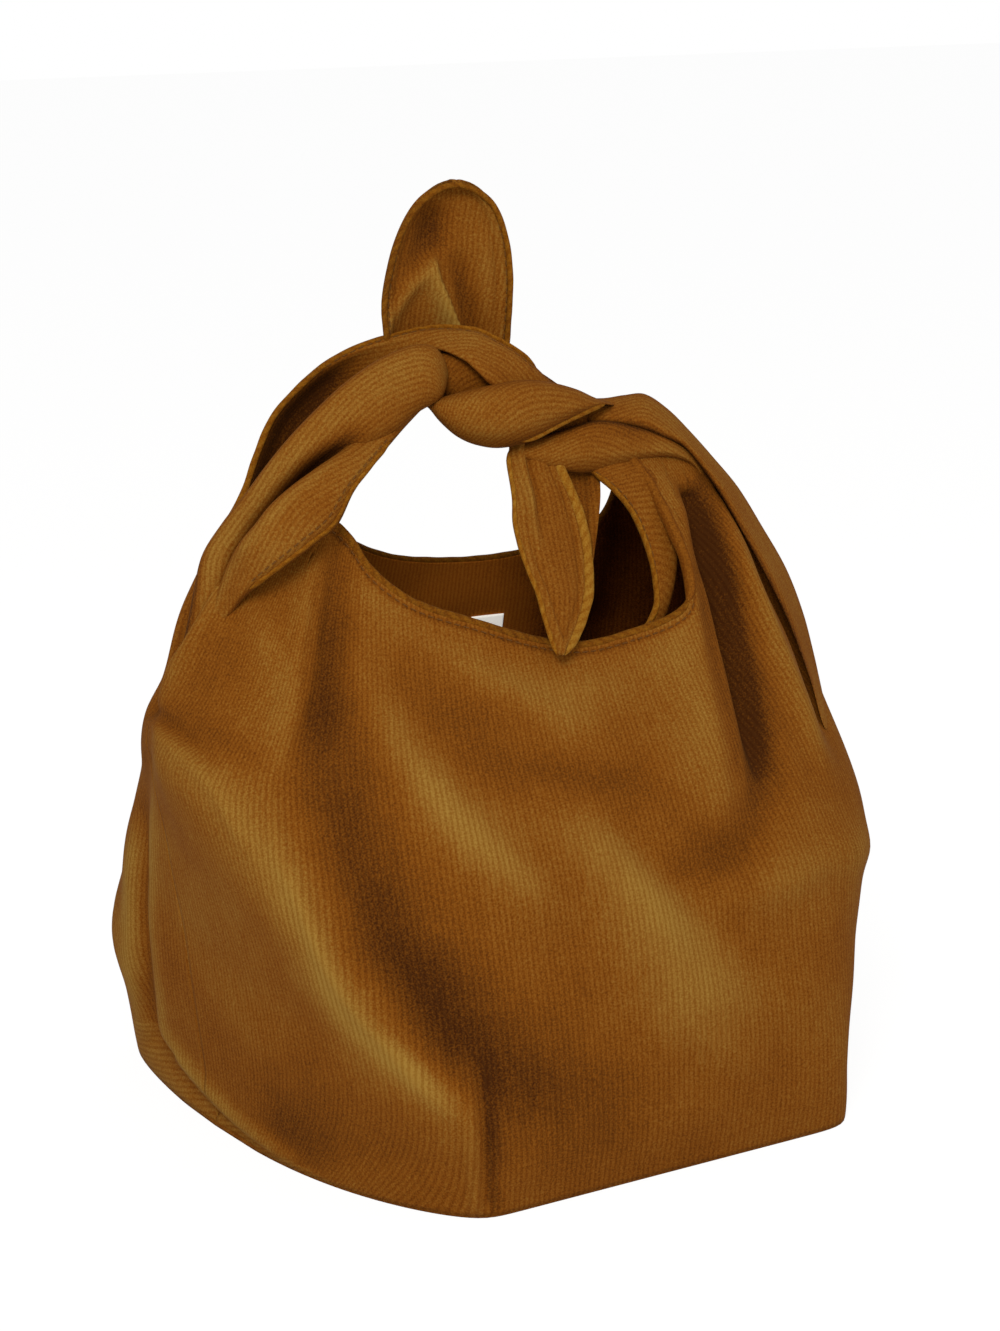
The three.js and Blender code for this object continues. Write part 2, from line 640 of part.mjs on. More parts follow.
// Half of the shell: columns run from seam to seam and rows from the foot to the rim or the bend.
function panelGeometry(face, rim, rimDrop, inset, thickness, foot) {
  const columns = stepPlaces(face < 0 ? FRONT_COLUMNS : BACK_COLUMNS);
  if (face > 0) columns.reverse();
  const rows = face < 0 ? FRONT_ROWS : BACK_ROWS;
  const grid = (depth) => spread(0, 1, rows).map((k) => columns.map((place) => {
    const top = Math.min(rim(place) - rimDrop, BEND_LOW);
    const point = insetPoint(place, face, lerp(foot, top, k), depth);
    return point.setY(point.y + face * FIT_GAP / 2);
  }));
  return sheetGeometry(grid(inset), grid(inset + thickness));
}

// The stretch of an ear that bends when the handle leans: one sheet from the front rim round the side
// seam to the back rim.
function earBendGeometry(side) {
  const rows = spread(BEND_LOW + FIT_GAP, BEND_HIGH, EAR_ROWS).map((height) => {
    const front = rimPlace(frontRim, height, side * NEAR_MIDDLE, side);
    const back = rimPlace(backRim, height, side * NEAR_MIDDLE, side);
    const frontHalf = spread(front, side, EAR_COLUMNS).map((place) => [place, -1]);
    const backHalf = spread(side, back, EAR_COLUMNS).slice(1).map((place) => [place, 1]);
    const path = [...frontHalf, ...backHalf];
    if (side < 0) path.reverse();
    return path.map(([place, face]) => [place, face, height]);
  });
  const grid = (depth) => rows.map((row) => row.map(([place, face, height]) => (
    insetPoint(place, face, height, depth))));
  return sheetGeometry(grid(0), grid(SHELL_THICKNESS));
}

// The rolled hem along a rim, standing on the panel's top edge, from one ear bend to the other.
function rimRollGeometry(face, rim, grow = 0) {
  const left = rimPlace(rim, BEND_LOW, -NEAR_MIDDLE, -1);
  const right = rimPlace(rim, BEND_LOW, NEAR_MIDDLE, 1);
  const middle = SHELL_THICKNESS / 2;
  const centre = (place) => insetPoint(place, face, rim(place) - HEM_ROLL_RADIUS, middle);
  const rings = spread(left, right, ROLL_STEPS).map((place) => {
    const next = centre(Math.min(place + NEARBY_PLACE / 2, right));
    const ahead = next.sub(centre(Math.max(place - NEARBY_PLACE / 2, left))).normalize();
    const across = new THREE.Vector3(0, 0, 1).cross(ahead).normalize();
    const rise = ahead.clone().cross(across);
    return spread(0, 2 * Math.PI, ROLL_SIDES).slice(0, -1).map((angle) => centre(place)
      .addScaledVector(across, (HEM_ROLL_RADIUS + grow) * Math.cos(angle))
      .addScaledVector(rise, (HEM_ROLL_RADIUS + grow) * Math.sin(angle)));
  });
  return tubeGeometry(rings);
}

// A blank sewn label lying against the lining of the back wall.
function labelGeometry(inset) {
  const half = LABEL_WIDTH / (BODY_WIDTH + BODY_DEPTH / 2);
  const columns = spread(LABEL_PLACE + half, LABEL_PLACE - half, LABEL_COLUMNS);
  const grid = (depth) => spread(LABEL_TOP - LABEL_HEIGHT, LABEL_TOP, LABEL_ROWS).map((height) => (
    columns.map((place) => insetPoint(place, 1, height, depth))));
  return sheetGeometry(grid(inset), grid(inset + LABEL_THICKNESS));
}

function buildBag() {
  const liningInset = SHELL_THICKNESS + FIT_GAP;
  const outline = (height, inset) => {
    const places = spread(-1, 1, OUTLINE_STEPS).slice(0, -1);
    const front = places.map((place) => insetPoint(place, -1, height, inset));
    const back = places.map((place) => insetPoint(-place, 1, height, inset));
    return [...front, ...back];
  };
  const slab = (bottom, top, inset) => tubeGeometry([bottom, top].map((height) => (
    outline(PANEL_FOOT, inset).map((p) => p.setZ(height)))));
  const wall = (face, rim, inset, thickness, ...limits) => {
    const sheet = panelGeometry(face, rim, HEM_ROLL_RADIUS, inset, thickness, PANEL_FOOT);
    return cut(sheet, rimRollGeometry(face, rim, 1.5 * FIT_GAP + inset / 2), ...limits);
  };
  // The shell's wall in three pieces: the body, and an ear on each side. The ears start at the rim's lowest
  // point, or a clearance below the bend where that is lower.
  const shell = (name, face, rim, rimFoot) => {
    const earFoot = Math.min(rimFoot, BEND_LOW - BEND_CLEARANCE);
    const body = beyond('z', 1, earFoot - FIT_GAP / 2);
    const foot = beyond('z', -1, earFoot + FIT_GAP / 2);
    const middle = shellPoint(rimLowest(rim), face, earFoot).x;
    add(`${name}_panel`, wall(face, rim, 0, SHELL_THICKNESS, body), CORDUROY);
    const ear = (side) => {
      const inner = beyond('x', -side, middle + (side * FIT_GAP) / 2);
      return wall(face, rim, 0, SHELL_THICKNESS, foot, inner);
    };
    add(`${name}_left_ear`, ear(-1), CORDUROY);
    add(`${name}_right_ear`, ear(1), CORDUROY);
  };
  const floorInset = liningInset + LINING_THICKNESS + 2 * FIT_GAP;
  add('base_panel', slab(0, BASE_THICKNESS, 0), CORDUROY);
  const floorTop = PANEL_FOOT + LINING_THICKNESS;
  add('base_lining', slab(PANEL_FOOT, floorTop, floorInset), CORDUROY_INSIDE);
  shell('front', -1, frontRim, FRONT_RIM_HEIGHT);
  shell('back', 1, backRim, BACK_RIM_HEIGHT);
  add('front_lining', wall(-1, frontRim, liningInset, LINING_THICKNESS), CORDUROY_INSIDE);
  add('back_lining', wall(1, backRim, liningInset, LINING_THICKNESS), CORDUROY_INSIDE);
  add('front_rim_roll', rimRollGeometry(-1, frontRim), CORDUROY_HEM);
  add('back_rim_roll', rimRollGeometry(1, backRim), CORDUROY_HEM);
  add('inner_label', labelGeometry(liningInset + LINING_THICKNESS + FIT_GAP), LABEL_CLOTH);
  add('left_ear_bend', earBendGeometry(-1), CORDUROY);
  add('right_ear_bend', earBendGeometry(1), CORDUROY);
}

function overBand(grow) {
  const depth = BAND_HALF_DEPTH;
  return bandGeometry(OVER_BAND_OUTER, OVER_BAND_INNER, depth, depth, OVER_BAND_STEPS, grow);
}

function leftStrap(grow) {
  const depth = STRAP_HALF_DEPTH;
  return bandGeometry(LEFT_STRAP_OUTER, LEFT_STRAP_INNER, depth, depth, LEFT_STRAP_STEPS, grow);
}

function rightStrap(grow) {
  const edges = [RIGHT_STRAP_OUTER, RIGHT_STRAP_INNER];
  return bandGeometry(...edges, EAR_HALF_DEPTH, KNOT_HALF_DEPTH, RIGHT_STRAP_STEPS, grow);
}

function buildHandle() {
  const foot = BEND_HIGH + FIT_GAP;
  const wrap = wrapGeometry(FIT_GAP);
  const band = overBand(FIT_GAP);
  const left = leftStrap(FIT_GAP);
  const right = rightStrap(FIT_GAP);
  const upperWidth = UPPER_TAIL_WIDTH * UPPER_TAIL_SHAPE[0][3];
  const upperRoot = tailRootGeometry(UPPER_TAIL_ROOT, upperWidth, 1, KNOT_MIDDLE);
  const lowerRoot = tailRootGeometry(LOWER_TAIL_ROOT, LOWER_TAIL_WIDTH, -1, KNOT_MIDDLE);
  add('knot_wrap', wrapGeometry(), CORDUROY_HEM);
  add('over_band', above(cut(overBand(0), wrap), foot), CORDUROY);
  add('left_strap', above(cut(leftStrap(0), wrap, band), foot), CORDUROY);
  add('right_strap', above(cut(rightStrap(0), wrap, band, left), foot), CORDUROY);
  add('upper_tail_root', cut(upperRoot, wrap, band, left, right), CORDUROY);
  add('lower_tail_root', cut(lowerRoot, wrap, band, left, right), CORDUROY);
}

function buildTails() {
  const upper = tailGeometry(UPPER_TAIL_ROOT, UPPER_TAIL_SHAPE, UPPER_TAIL_LENGTH, UPPER_TAIL_WIDTH, 1);
  const lower = tailGeometry(LOWER_TAIL_ROOT, LOWER_TAIL_SHAPE, LOWER_TAIL_LENGTH, LOWER_TAIL_WIDTH, -1);
  add('upper_tail', upper, CORDUROY);
  add('lower_tail', lower, CORDUROY);
}

buildBag();
buildHandle();
buildTails();

export default bag;
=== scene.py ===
# %% [markdown]
# # A knotted corduroy tote
#
# The bag is one soft shell of corduroy, lined with the same cloth. Its two side ears rise into straps
# that are tied in a knot, with one tail up and one tail down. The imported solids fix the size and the
# joints; every cell below adds one piece of cloth over them, worked out as a surface.

import bmesh
import bpy
import numpy as np
from mathutils import Matrix, Vector


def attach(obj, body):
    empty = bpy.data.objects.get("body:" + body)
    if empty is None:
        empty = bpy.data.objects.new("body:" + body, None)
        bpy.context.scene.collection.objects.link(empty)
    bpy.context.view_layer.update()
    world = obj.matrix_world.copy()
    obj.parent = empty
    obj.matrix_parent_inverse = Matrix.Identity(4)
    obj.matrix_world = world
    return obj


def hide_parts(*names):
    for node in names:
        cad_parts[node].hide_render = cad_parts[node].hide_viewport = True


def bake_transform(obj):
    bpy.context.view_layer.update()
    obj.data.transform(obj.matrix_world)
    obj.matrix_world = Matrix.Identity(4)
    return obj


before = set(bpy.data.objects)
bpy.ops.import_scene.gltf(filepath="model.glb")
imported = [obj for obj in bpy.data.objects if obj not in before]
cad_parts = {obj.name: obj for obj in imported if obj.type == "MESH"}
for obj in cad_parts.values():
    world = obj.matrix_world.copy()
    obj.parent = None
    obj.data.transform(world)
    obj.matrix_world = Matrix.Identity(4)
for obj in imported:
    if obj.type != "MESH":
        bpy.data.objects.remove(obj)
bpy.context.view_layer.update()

# %% [markdown]
# ## The camera and its guide points
#
# The photograph was taken from the front left and a little above. Matching the base corners, the rims
# and the knot against known heights gives the angles and the distance. The same numbers turn a place
# in the picture and a depth into a point in space, so the folds can be put where they are seen.

# %% The camera
MM = 0.001
IMAGE_WIDTH, IMAGE_HEIGHT = 1000, 1331
CAMERA_AZIMUTH = np.radians(-28.0)
CAMERA_ELEVATION = np.radians(17.0)
CAMERA_DISTANCE = 1.2
LOOK_AT = np.array([4.4, -2.3, 200.0]) * MM
FOCAL_PIXELS = 2608.7
SENSOR_MM = 36.0

BACKWARD = np.array([np.sin(CAMERA_AZIMUTH) * np.cos(CAMERA_ELEVATION),
                     -np.cos(CAMERA_AZIMUTH) * np.cos(CAMERA_ELEVATION), np.sin(CAMERA_ELEVATION)])
RIGHTWARD = np.array([np.cos(CAMERA_AZIMUTH), np.sin(CAMERA_AZIMUTH), 0.0])
UPWARD = np.cross(BACKWARD, RIGHTWARD)
CAMERA_PLACE = LOOK_AT + CAMERA_DISTANCE * BACKWARD

camera_data = bpy.data.cameras.new("camera")
camera_data.sensor_width = SENSOR_MM
camera_data.lens = SENSOR_MM * FOCAL_PIXELS / IMAGE_HEIGHT
camera = bpy.data.objects.new("camera", camera_data)
bpy.context.scene.collection.objects.link(camera)
camera.location = CAMERA_PLACE
turn = np.stack([RIGHTWARD, UPWARD, BACKWARD], axis=1)
camera.rotation_euler = Matrix(turn.tolist()).to_euler()
bpy.context.scene.camera = camera
print("camera lens", round(camera_data.lens, 2), "mm")


# %% From the picture to space and back
def to_pixels(points):
    """Picture place of points: their offset from the camera, shared out by their distance ahead of it."""
    offset = points - CAMERA_PLACE
    ahead = -(offset @ BACKWARD)
    return np.stack([IMAGE_WIDTH / 2 + FOCAL_PIXELS * (offset @ RIGHTWARD) / ahead,
                     IMAGE_HEIGHT / 2 - FOCAL_PIXELS * (offset @ UPWARD) / ahead], axis=-1)


def at_depth(px, py, y_mm):
    """Point on the line of sight through a picture place where the depth Y has a given value in mm."""
    px, py, y_mm = np.broadcast_arrays(np.asarray(px, float), py, y_mm)
    sight = (-BACKWARD * FOCAL_PIXELS + RIGHTWARD * (px - IMAGE_WIDTH / 2)[..., None]
             - UPWARD * (py - IMAGE_HEIGHT / 2)[..., None])
    reach = (y_mm * MM - CAMERA_PLACE[1]) / sight[..., 1]
    return CAMERA_PLACE + sight * reach[..., None]


print("a pixel at the bag is", round(CAMERA_DISTANCE / FOCAL_PIXELS / MM, 2), "mm")

# %% [markdown]
# ## Floor and light
#
# A plain white floor and a white surround, with one broad soft light from the upper left and a weak
# one from the right. The level is kept plain, so a colour renders about as it is written.

# %% Colours and nodes
def linear(hex_colour):
    """Linear red, green, blue, alpha of an sRGB hex colour, by the sRGB curve."""
    c = np.array([int(hex_colour[i:i + 2], 16) for i in (1, 3, 5)]) / 255
    c = np.where(c <= 0.04045, c / 12.92, ((c + 0.055) / 1.055) ** 2.4)
    return (*c.tolist(), 1.0)


def add_node(tree, kind, inputs=None, **settings):
    """Adds a node, sets its settings, and fills its inputs with values or links from other outputs."""
    node = tree.nodes.new(kind)
    for key, value in settings.items():
        setattr(node, key, value)
    for key, value in (inputs or {}).items():
        if isinstance(value, bpy.types.NodeSocket):
            tree.links.new(value, node.inputs[key])
        else:
            node.inputs[key].default_value = value
    return node


def new_material(name):
    """An empty node material and its tree."""
    material = bpy.data.materials.new(name)
    material.use_nodes = True
    material.node_tree.nodes.clear()
    return material, material.node_tree


# %% The floor and the lamps
def lamp(name, place, size, watts, colour):
    """A square soft lamp that points at the middle of the bag."""
    data = bpy.data.lights.new(name, "AREA")
    data.size, data.energy, data.color = size, watts, linear(colour)[:3]
    light = bpy.data.objects.new(name, data)
    bpy.context.scene.collection.objects.link(light)
    light.location = place
    direction = Vector(BAG_MIDDLE) - light.location
    light.rotation_euler = direction.to_track_quat("-Z", "Y").to_euler()


BAG_MIDDLE = (0, 0, 0.2)
FLOOR_HALF = 6.0
floor_mesh = bpy.data.meshes.new("floor")
floor_mesh.from_pydata([(-FLOOR_HALF, -FLOOR_HALF, 0), (FLOOR_HALF, -FLOOR_HALF, 0),
                        (FLOOR_HALF, FLOOR_HALF, 0), (-FLOOR_HALF, FLOOR_HALF, 0)], [], [(0, 1, 2, 3)])
floor = bpy.data.objects.new("floor", floor_mesh)
bpy.context.scene.collection.objects.link(floor)
white_paper, tree = new_material("white_paper_floor")
diffuse = add_node(tree, "ShaderNodeBsdfDiffuse", {"Color": linear("#F4F4F4")})
# Seen by the camera, most of the paper is a plain white glow, and the rest keeps the bag's shadow.
PAPER_GLOW, GLOW_SHARE = 1.06, 0.85
glow = add_node(tree, "ShaderNodeEmission", {"Color": (1, 1, 1, 1), "Strength": PAPER_GLOW})
paths = add_node(tree, "ShaderNodeLightPath")
share = add_node(tree, "ShaderNodeMath", {0: paths.outputs["Is Camera Ray"], 1: GLOW_SHARE},
                 operation="MULTIPLY")
mixed = add_node(tree, "ShaderNodeMixShader", {0: share.outputs[0], 1: diffuse.outputs[0],
                                               2: glow.outputs[0]})
add_node(tree, "ShaderNodeOutputMaterial", {"Surface": mixed.outputs[0]})
floor_mesh.materials.append(white_paper)

world = bpy.data.worlds.new("soft_surround")
bpy.context.scene.world = world
world.use_nodes = True
tree = world.node_tree
tree.nodes.clear()
paths = add_node(tree, "ShaderNodeLightPath")
SURROUND_LEVEL = 0.56
strength = add_node(tree, "ShaderNodeMapRange", {0: paths.outputs["Is Camera Ray"], 3: SURROUND_LEVEL,
                                                 4: 1.0})
surround = add_node(tree, "ShaderNodeBackground", {"Color": (1, 1, 1, 1), "Strength": strength.outputs[0]})
add_node(tree, "ShaderNodeOutputWorld", {"Surface": surround.outputs[0]})

lamp("key", (-1.0, -1.4, 1.6), 0.8, 32, "#FFFBF2")
lamp("fill", (1.5, -1.1, 0.9), 1.2, 5, "#FFF6EC")
bpy.context.scene.view_settings.view_transform = "Standard"
print("floor, surround and", len(bpy.data.lights), "lamps")

# %% [markdown]
# ## Corduroy
#
# Corduroy is a cotton cloth whose cut pile stands in parallel cords, the wales, here 2.5 mm apart. The
# pile gives a soft sheen and looks lighter or darker where it is brushed. The wales must follow the
# cloth, so each piece carries a UV map in metres: U runs across the wales and V along them. A sine of U
# makes the cords, and a stored nap value tells how brushed each place is. The same value also carries
# painted light and shade: painted highlights on ridges and painted shade in creases and slots.

# %% The corduroy material
WALE_PITCH = 2.5 * MM
WALE_HEIGHT = 0.22 * MM
BLOTCH_SIZE = 45 * MM
FIBRE_SIZE = 0.8 * MM
# Painted shade: the colour in the grooves between the wales is multiplied by this tint.
GROOVE_SHADE_TINT = "#E9DDCB"
# How often the wales stray in a metre, and how far, in radians of their own wave.
STRAY_RATE, STRAY = 60.0, 1.1
# Streaks in one wale's pitch and in a metre along it.
STREAKS_ACROSS, STREAKS_ALONG = 0.7, 60.0
# What blotches, streaks and tufts add to the nap, how far tufts break up a crest, and the nap's zero.
BLOTCH_SHARE, STREAK_SHARE, TUFT_SHARE, TUFT_DEPTH, NAP_ZERO = 0.4, 0.18, 0.9, 1.3, 0.09
# Where the sine across the wales is a groove and where a full crest, and the tufts' part in the relief.
GROOVE_AT, CREST_AT, TUFT_RELIEF = -1.0, 0.7, 0.25


def corduroy(name, brushed_down_and_shade, plain, brushed_up_and_highlight, sheen=0.05, groove_shade=GROOVE_SHADE_TINT, relief=0.1):
    """Ribbed pile: the nap value, which holds both the brushing and painted light and shade, picks the
    colour of the crests from dark to light, large soft noise varies the brushing, stretched noise streaks
    single wales, and a sine across them darkens the grooves with painted shade."""
    material, tree = new_material(name)
    uv = add_node(tree, "ShaderNodeUVMap", uv_map="wales")
    place = add_node(tree, "ShaderNodeTexCoord")
    nap_and_shade = add_node(tree, "ShaderNodeAttribute", attribute_name="nap_and_shade")
    stray = add_node(tree, "ShaderNodeTexNoise", {"Vector": place.outputs["Object"], "Scale": STRAY_RATE,
                                                  "Detail": 1.0})
    axes = add_node(tree, "ShaderNodeSeparateXYZ", {0: uv.outputs[0]})
    shift = add_node(tree, "ShaderNodeMath", {0: stray.outputs[0], 1: STRAY}, operation="MULTIPLY")
    phase = add_node(tree, "ShaderNodeMath", {0: axes.outputs[0], 1: 2 * np.pi / WALE_PITCH,
                                              2: shift.outputs[0]}, operation="MULTIPLY_ADD")
    wave = add_node(tree, "ShaderNodeMath", {0: phase.outputs[0]}, operation="SINE")
    rib = add_node(tree, "ShaderNodeMapRange", {0: wave.outputs[0], 1: GROOVE_AT, 2: CREST_AT},
                   interpolation_type="SMOOTHSTEP")
    stretched = (STREAKS_ACROSS / WALE_PITCH, STREAKS_ALONG, 1.0)
    streaked = add_node(tree, "ShaderNodeMapping", {"Vector": uv.outputs[0], "Scale": stretched})
    streak = add_node(tree, "ShaderNodeTexNoise", {"Vector": streaked.outputs[0], "Scale": 1.0,
                                                   "Detail": 2.0})
    blotch = add_node(tree, "ShaderNodeTexNoise", {"Vector": place.outputs["Object"],
                                                   "Scale": 1 / BLOTCH_SIZE, "Detail": 2.0})
    soft = add_node(tree, "ShaderNodeMath", {0: blotch.outputs[0], 1: BLOTCH_SHARE,
                                             2: -BLOTCH_SHARE / 2}, operation="MULTIPLY_ADD")
    fine = add_node(tree, "ShaderNodeMath", {0: streak.outputs[0], 1: STREAK_SHARE, 2: soft.outputs[0]},
                    operation="MULTIPLY_ADD")
    shaded_nap = add_node(tree, "ShaderNodeMath", {0: nap_and_shade.outputs["Fac"], 1: NAP_ZERO}, operation="SUBTRACT")
    tone = add_node(tree, "ShaderNodeMath", {0: shaded_nap.outputs[0], 1: fine.outputs[0]}, operation="ADD")
    fleck = add_node(tree, "ShaderNodeTexNoise", {"Vector": place.outputs["Object"],
                                                  "Scale": 1 / FIBRE_SIZE, "Detail": 3.0})
    tuft = add_node(tree, "ShaderNodeMath", {0: fleck.outputs[0], 1: 0.5}, operation="SUBTRACT")
    mottled = add_node(tree, "ShaderNodeMath", {0: tuft.outputs[0], 1: TUFT_SHARE, 2: tone.outputs[0]},
                       operation="MULTIPLY_ADD", use_clamp=True)
    ramp = add_node(tree, "ShaderNodeValToRGB", {0: mottled.outputs[0]})
    ramp.color_ramp.elements[0].color = linear(brushed_down_and_shade)
    ramp.color_ramp.elements[1].color = linear(brushed_up_and_highlight)
    ramp.color_ramp.elements.new(0.5).color = linear(plain)
    depth = add_node(tree, "ShaderNodeMath", {0: fleck.outputs[0], 1: TUFT_DEPTH, 2: -TUFT_DEPTH / 2},
                     operation="MULTIPLY_ADD")
    crest = add_node(tree, "ShaderNodeMath", {0: rib.outputs[0], 1: depth.outputs[0]}, operation="ADD",
                     use_clamp=True)
    sunk = add_node(tree, "ShaderNodeMath", {0: 1.0, 1: crest.outputs[0]}, operation="SUBTRACT")
    colour = add_node(tree, "ShaderNodeMix", {0: sunk.outputs[0], 6: ramp.outputs[0],
                                              7: linear(groove_shade)}, data_type="RGBA", blend_type="MULTIPLY")
    height = add_node(tree, "ShaderNodeMath", {0: fleck.outputs[0], 1: TUFT_RELIEF, 2: rib.outputs[0]},
                      operation="MULTIPLY_ADD")
    bump = add_node(tree, "ShaderNodeBump", {"Strength": relief, "Distance": WALE_HEIGHT,
                                             "Height": height.outputs[0]})
    cloth = add_node(tree, "ShaderNodeBsdfPrincipled", {
        "Base Color": colour.outputs[2], "Roughness": 0.95, "Specular IOR Level": 0.05,
        "Sheen Weight": sheen, "Sheen Roughness": 0.5, "Sheen Tint": linear(brushed_up_and_highlight),
        "Normal": bump.outputs[0]})
    add_node(tree, "ShaderNodeOutputMaterial", {"Surface": cloth.outputs[0]})
    return material


# Cotton corduroy, cut, washed and worn: matt and soft, with light crests and grooves darkened by painted
# shade. The lining is the same cloth given lighter colours, a painted light that brightens it in the
# shade inside the bag, and a hem shows fresher pile where it is rolled over.
OUTSIDE = corduroy("corduroy_outside", "#3E2007", "#77450F", "#8E6C2E")
# Painted light: the lining's colours are lighter than the outside's, so that it reads bright in the bag's
# shaded inside.
INSIDE = corduroy("corduroy_lining", "#5A2C0A", "#A45E1A", "#AC6E24")
HEM = corduroy("corduroy_hem", "#54300A", "#80500F", "#98752E", groove_shade="#EADCC8", relief=0.2)
print("corduroy wale pitch", WALE_PITCH / MM, "mm")


# %% Thread and label cloth
def plain_cloth(name, colour, shade, thread, strength, painted_glow=0.0):
    """Smooth yarn or tape: two close colours from fine noise, and the same noise as relief. The last
    argument is a painted light: the tape glows in its own colour, so that it stays white in shade."""
    material, tree = new_material(name)
    place = add_node(tree, "ShaderNodeTexCoord")
    yarn = add_node(tree, "ShaderNodeTexNoise", {"Vector": place.outputs["Object"], "Scale": 1 / thread,
                                                 "Detail": 2.0})
    tint = add_node(tree, "ShaderNodeMix", {0: yarn.outputs[0], 6: linear(shade), 7: linear(colour)},
                    data_type="RGBA")
    bump = add_node(tree, "ShaderNodeBump", {"Strength": strength, "Distance": 0.1 * MM,
                                             "Height": yarn.outputs[0]})
    cloth = add_node(tree, "ShaderNodeBsdfPrincipled", {
        "Base Color": tint.outputs[2], "Roughness": 0.8, "Specular IOR Level": 0.15,
        "Normal": bump.outputs[0], "Emission Color": tint.outputs[2], "Emission Strength": painted_glow})
    add_node(tree, "ShaderNodeOutputMaterial", {"Surface": cloth.outputs[0]})
    return material


# Spun polyester thread is smooth and even, and darker than the pile that it holds down. Woven cotton
# tape is the one white thing on the bag.
THREAD = plain_cloth("polyester_thread", "#74491A", "#4A2C0C", 0.6 * MM, 0.5)
# Painted light: the label tape glows so that it looks white in the shaded mouth of the bag.
LABEL_TAPE = plain_cloth("woven_cotton_tape", "#FFFDF8", "#F6F2EA", 0.8 * MM, 0.4, painted_glow=0.4)
print(len(bpy.data.materials), "materials")

# %% [markdown]
# ## Surfaces from numbers
#
# Every piece is a grid of points: rows along it and columns across it. One function turns such a grid
# into a mesh with its UV map and nap, and one makes a smooth curve through a table of measured rows.

# %% Curves and grids
def smooth_rows(rows, key):
    """Columns of a table at any key. Between two rows it is a cubic curve that meets both, and its slope
    at a row is the rise from the row before to the row after, over their distance."""
    rows = np.asarray(rows, float)
    keys, values = rows[:, 0], rows[:, 1:]
    order = np.arange(len(keys))
    before, after = np.maximum(order - 1, 0), np.minimum(order + 1, len(keys) - 1)
    slope = (values[after] - values[before]) / (keys[after] - keys[before])[:, None]
    key = np.clip(key, keys[0], keys[-1])
    i = np.clip(np.searchsorted(keys, key, side="right") - 1, 0, len(keys) - 2)
    span = (keys[i + 1] - keys[i])[..., None]
    s = (key - keys[i])[..., None] / span
    return (values[i] * (2 * s**3 - 3 * s**2 + 1) + slope[i] * span * (s**3 - 2 * s**2 + s)
            + values[i + 1] * (3 * s**2 - 2 * s**3) + slope[i + 1] * span * (s**3 - s**2))


def ease(low, high, x):
    """0 below low, 1 above high, and a smooth S between."""
    k = np.clip((x - low) / (high - low), 0, 1)
    return k * k * (3 - 2 * k)


def unit(v):
    """Vectors scaled to a length of one."""
    return v / np.maximum(np.linalg.norm(v, axis=-1, keepdims=True), 1e-12)


def lengths(points, axis=0):
    """Distance walked along one axis of a grid of points, from its first point."""
    steps = np.linalg.norm(np.diff(points, axis=axis), axis=-1)
    return np.concatenate([np.zeros_like(np.take(steps, [0], axis)), np.cumsum(steps, axis)], axis)


def grid_normals(points):
    """Unit normals of a grid: the cross product of its column and row directions."""
    return unit(np.cross(np.gradient(points, axis=1), np.gradient(points, axis=0)))


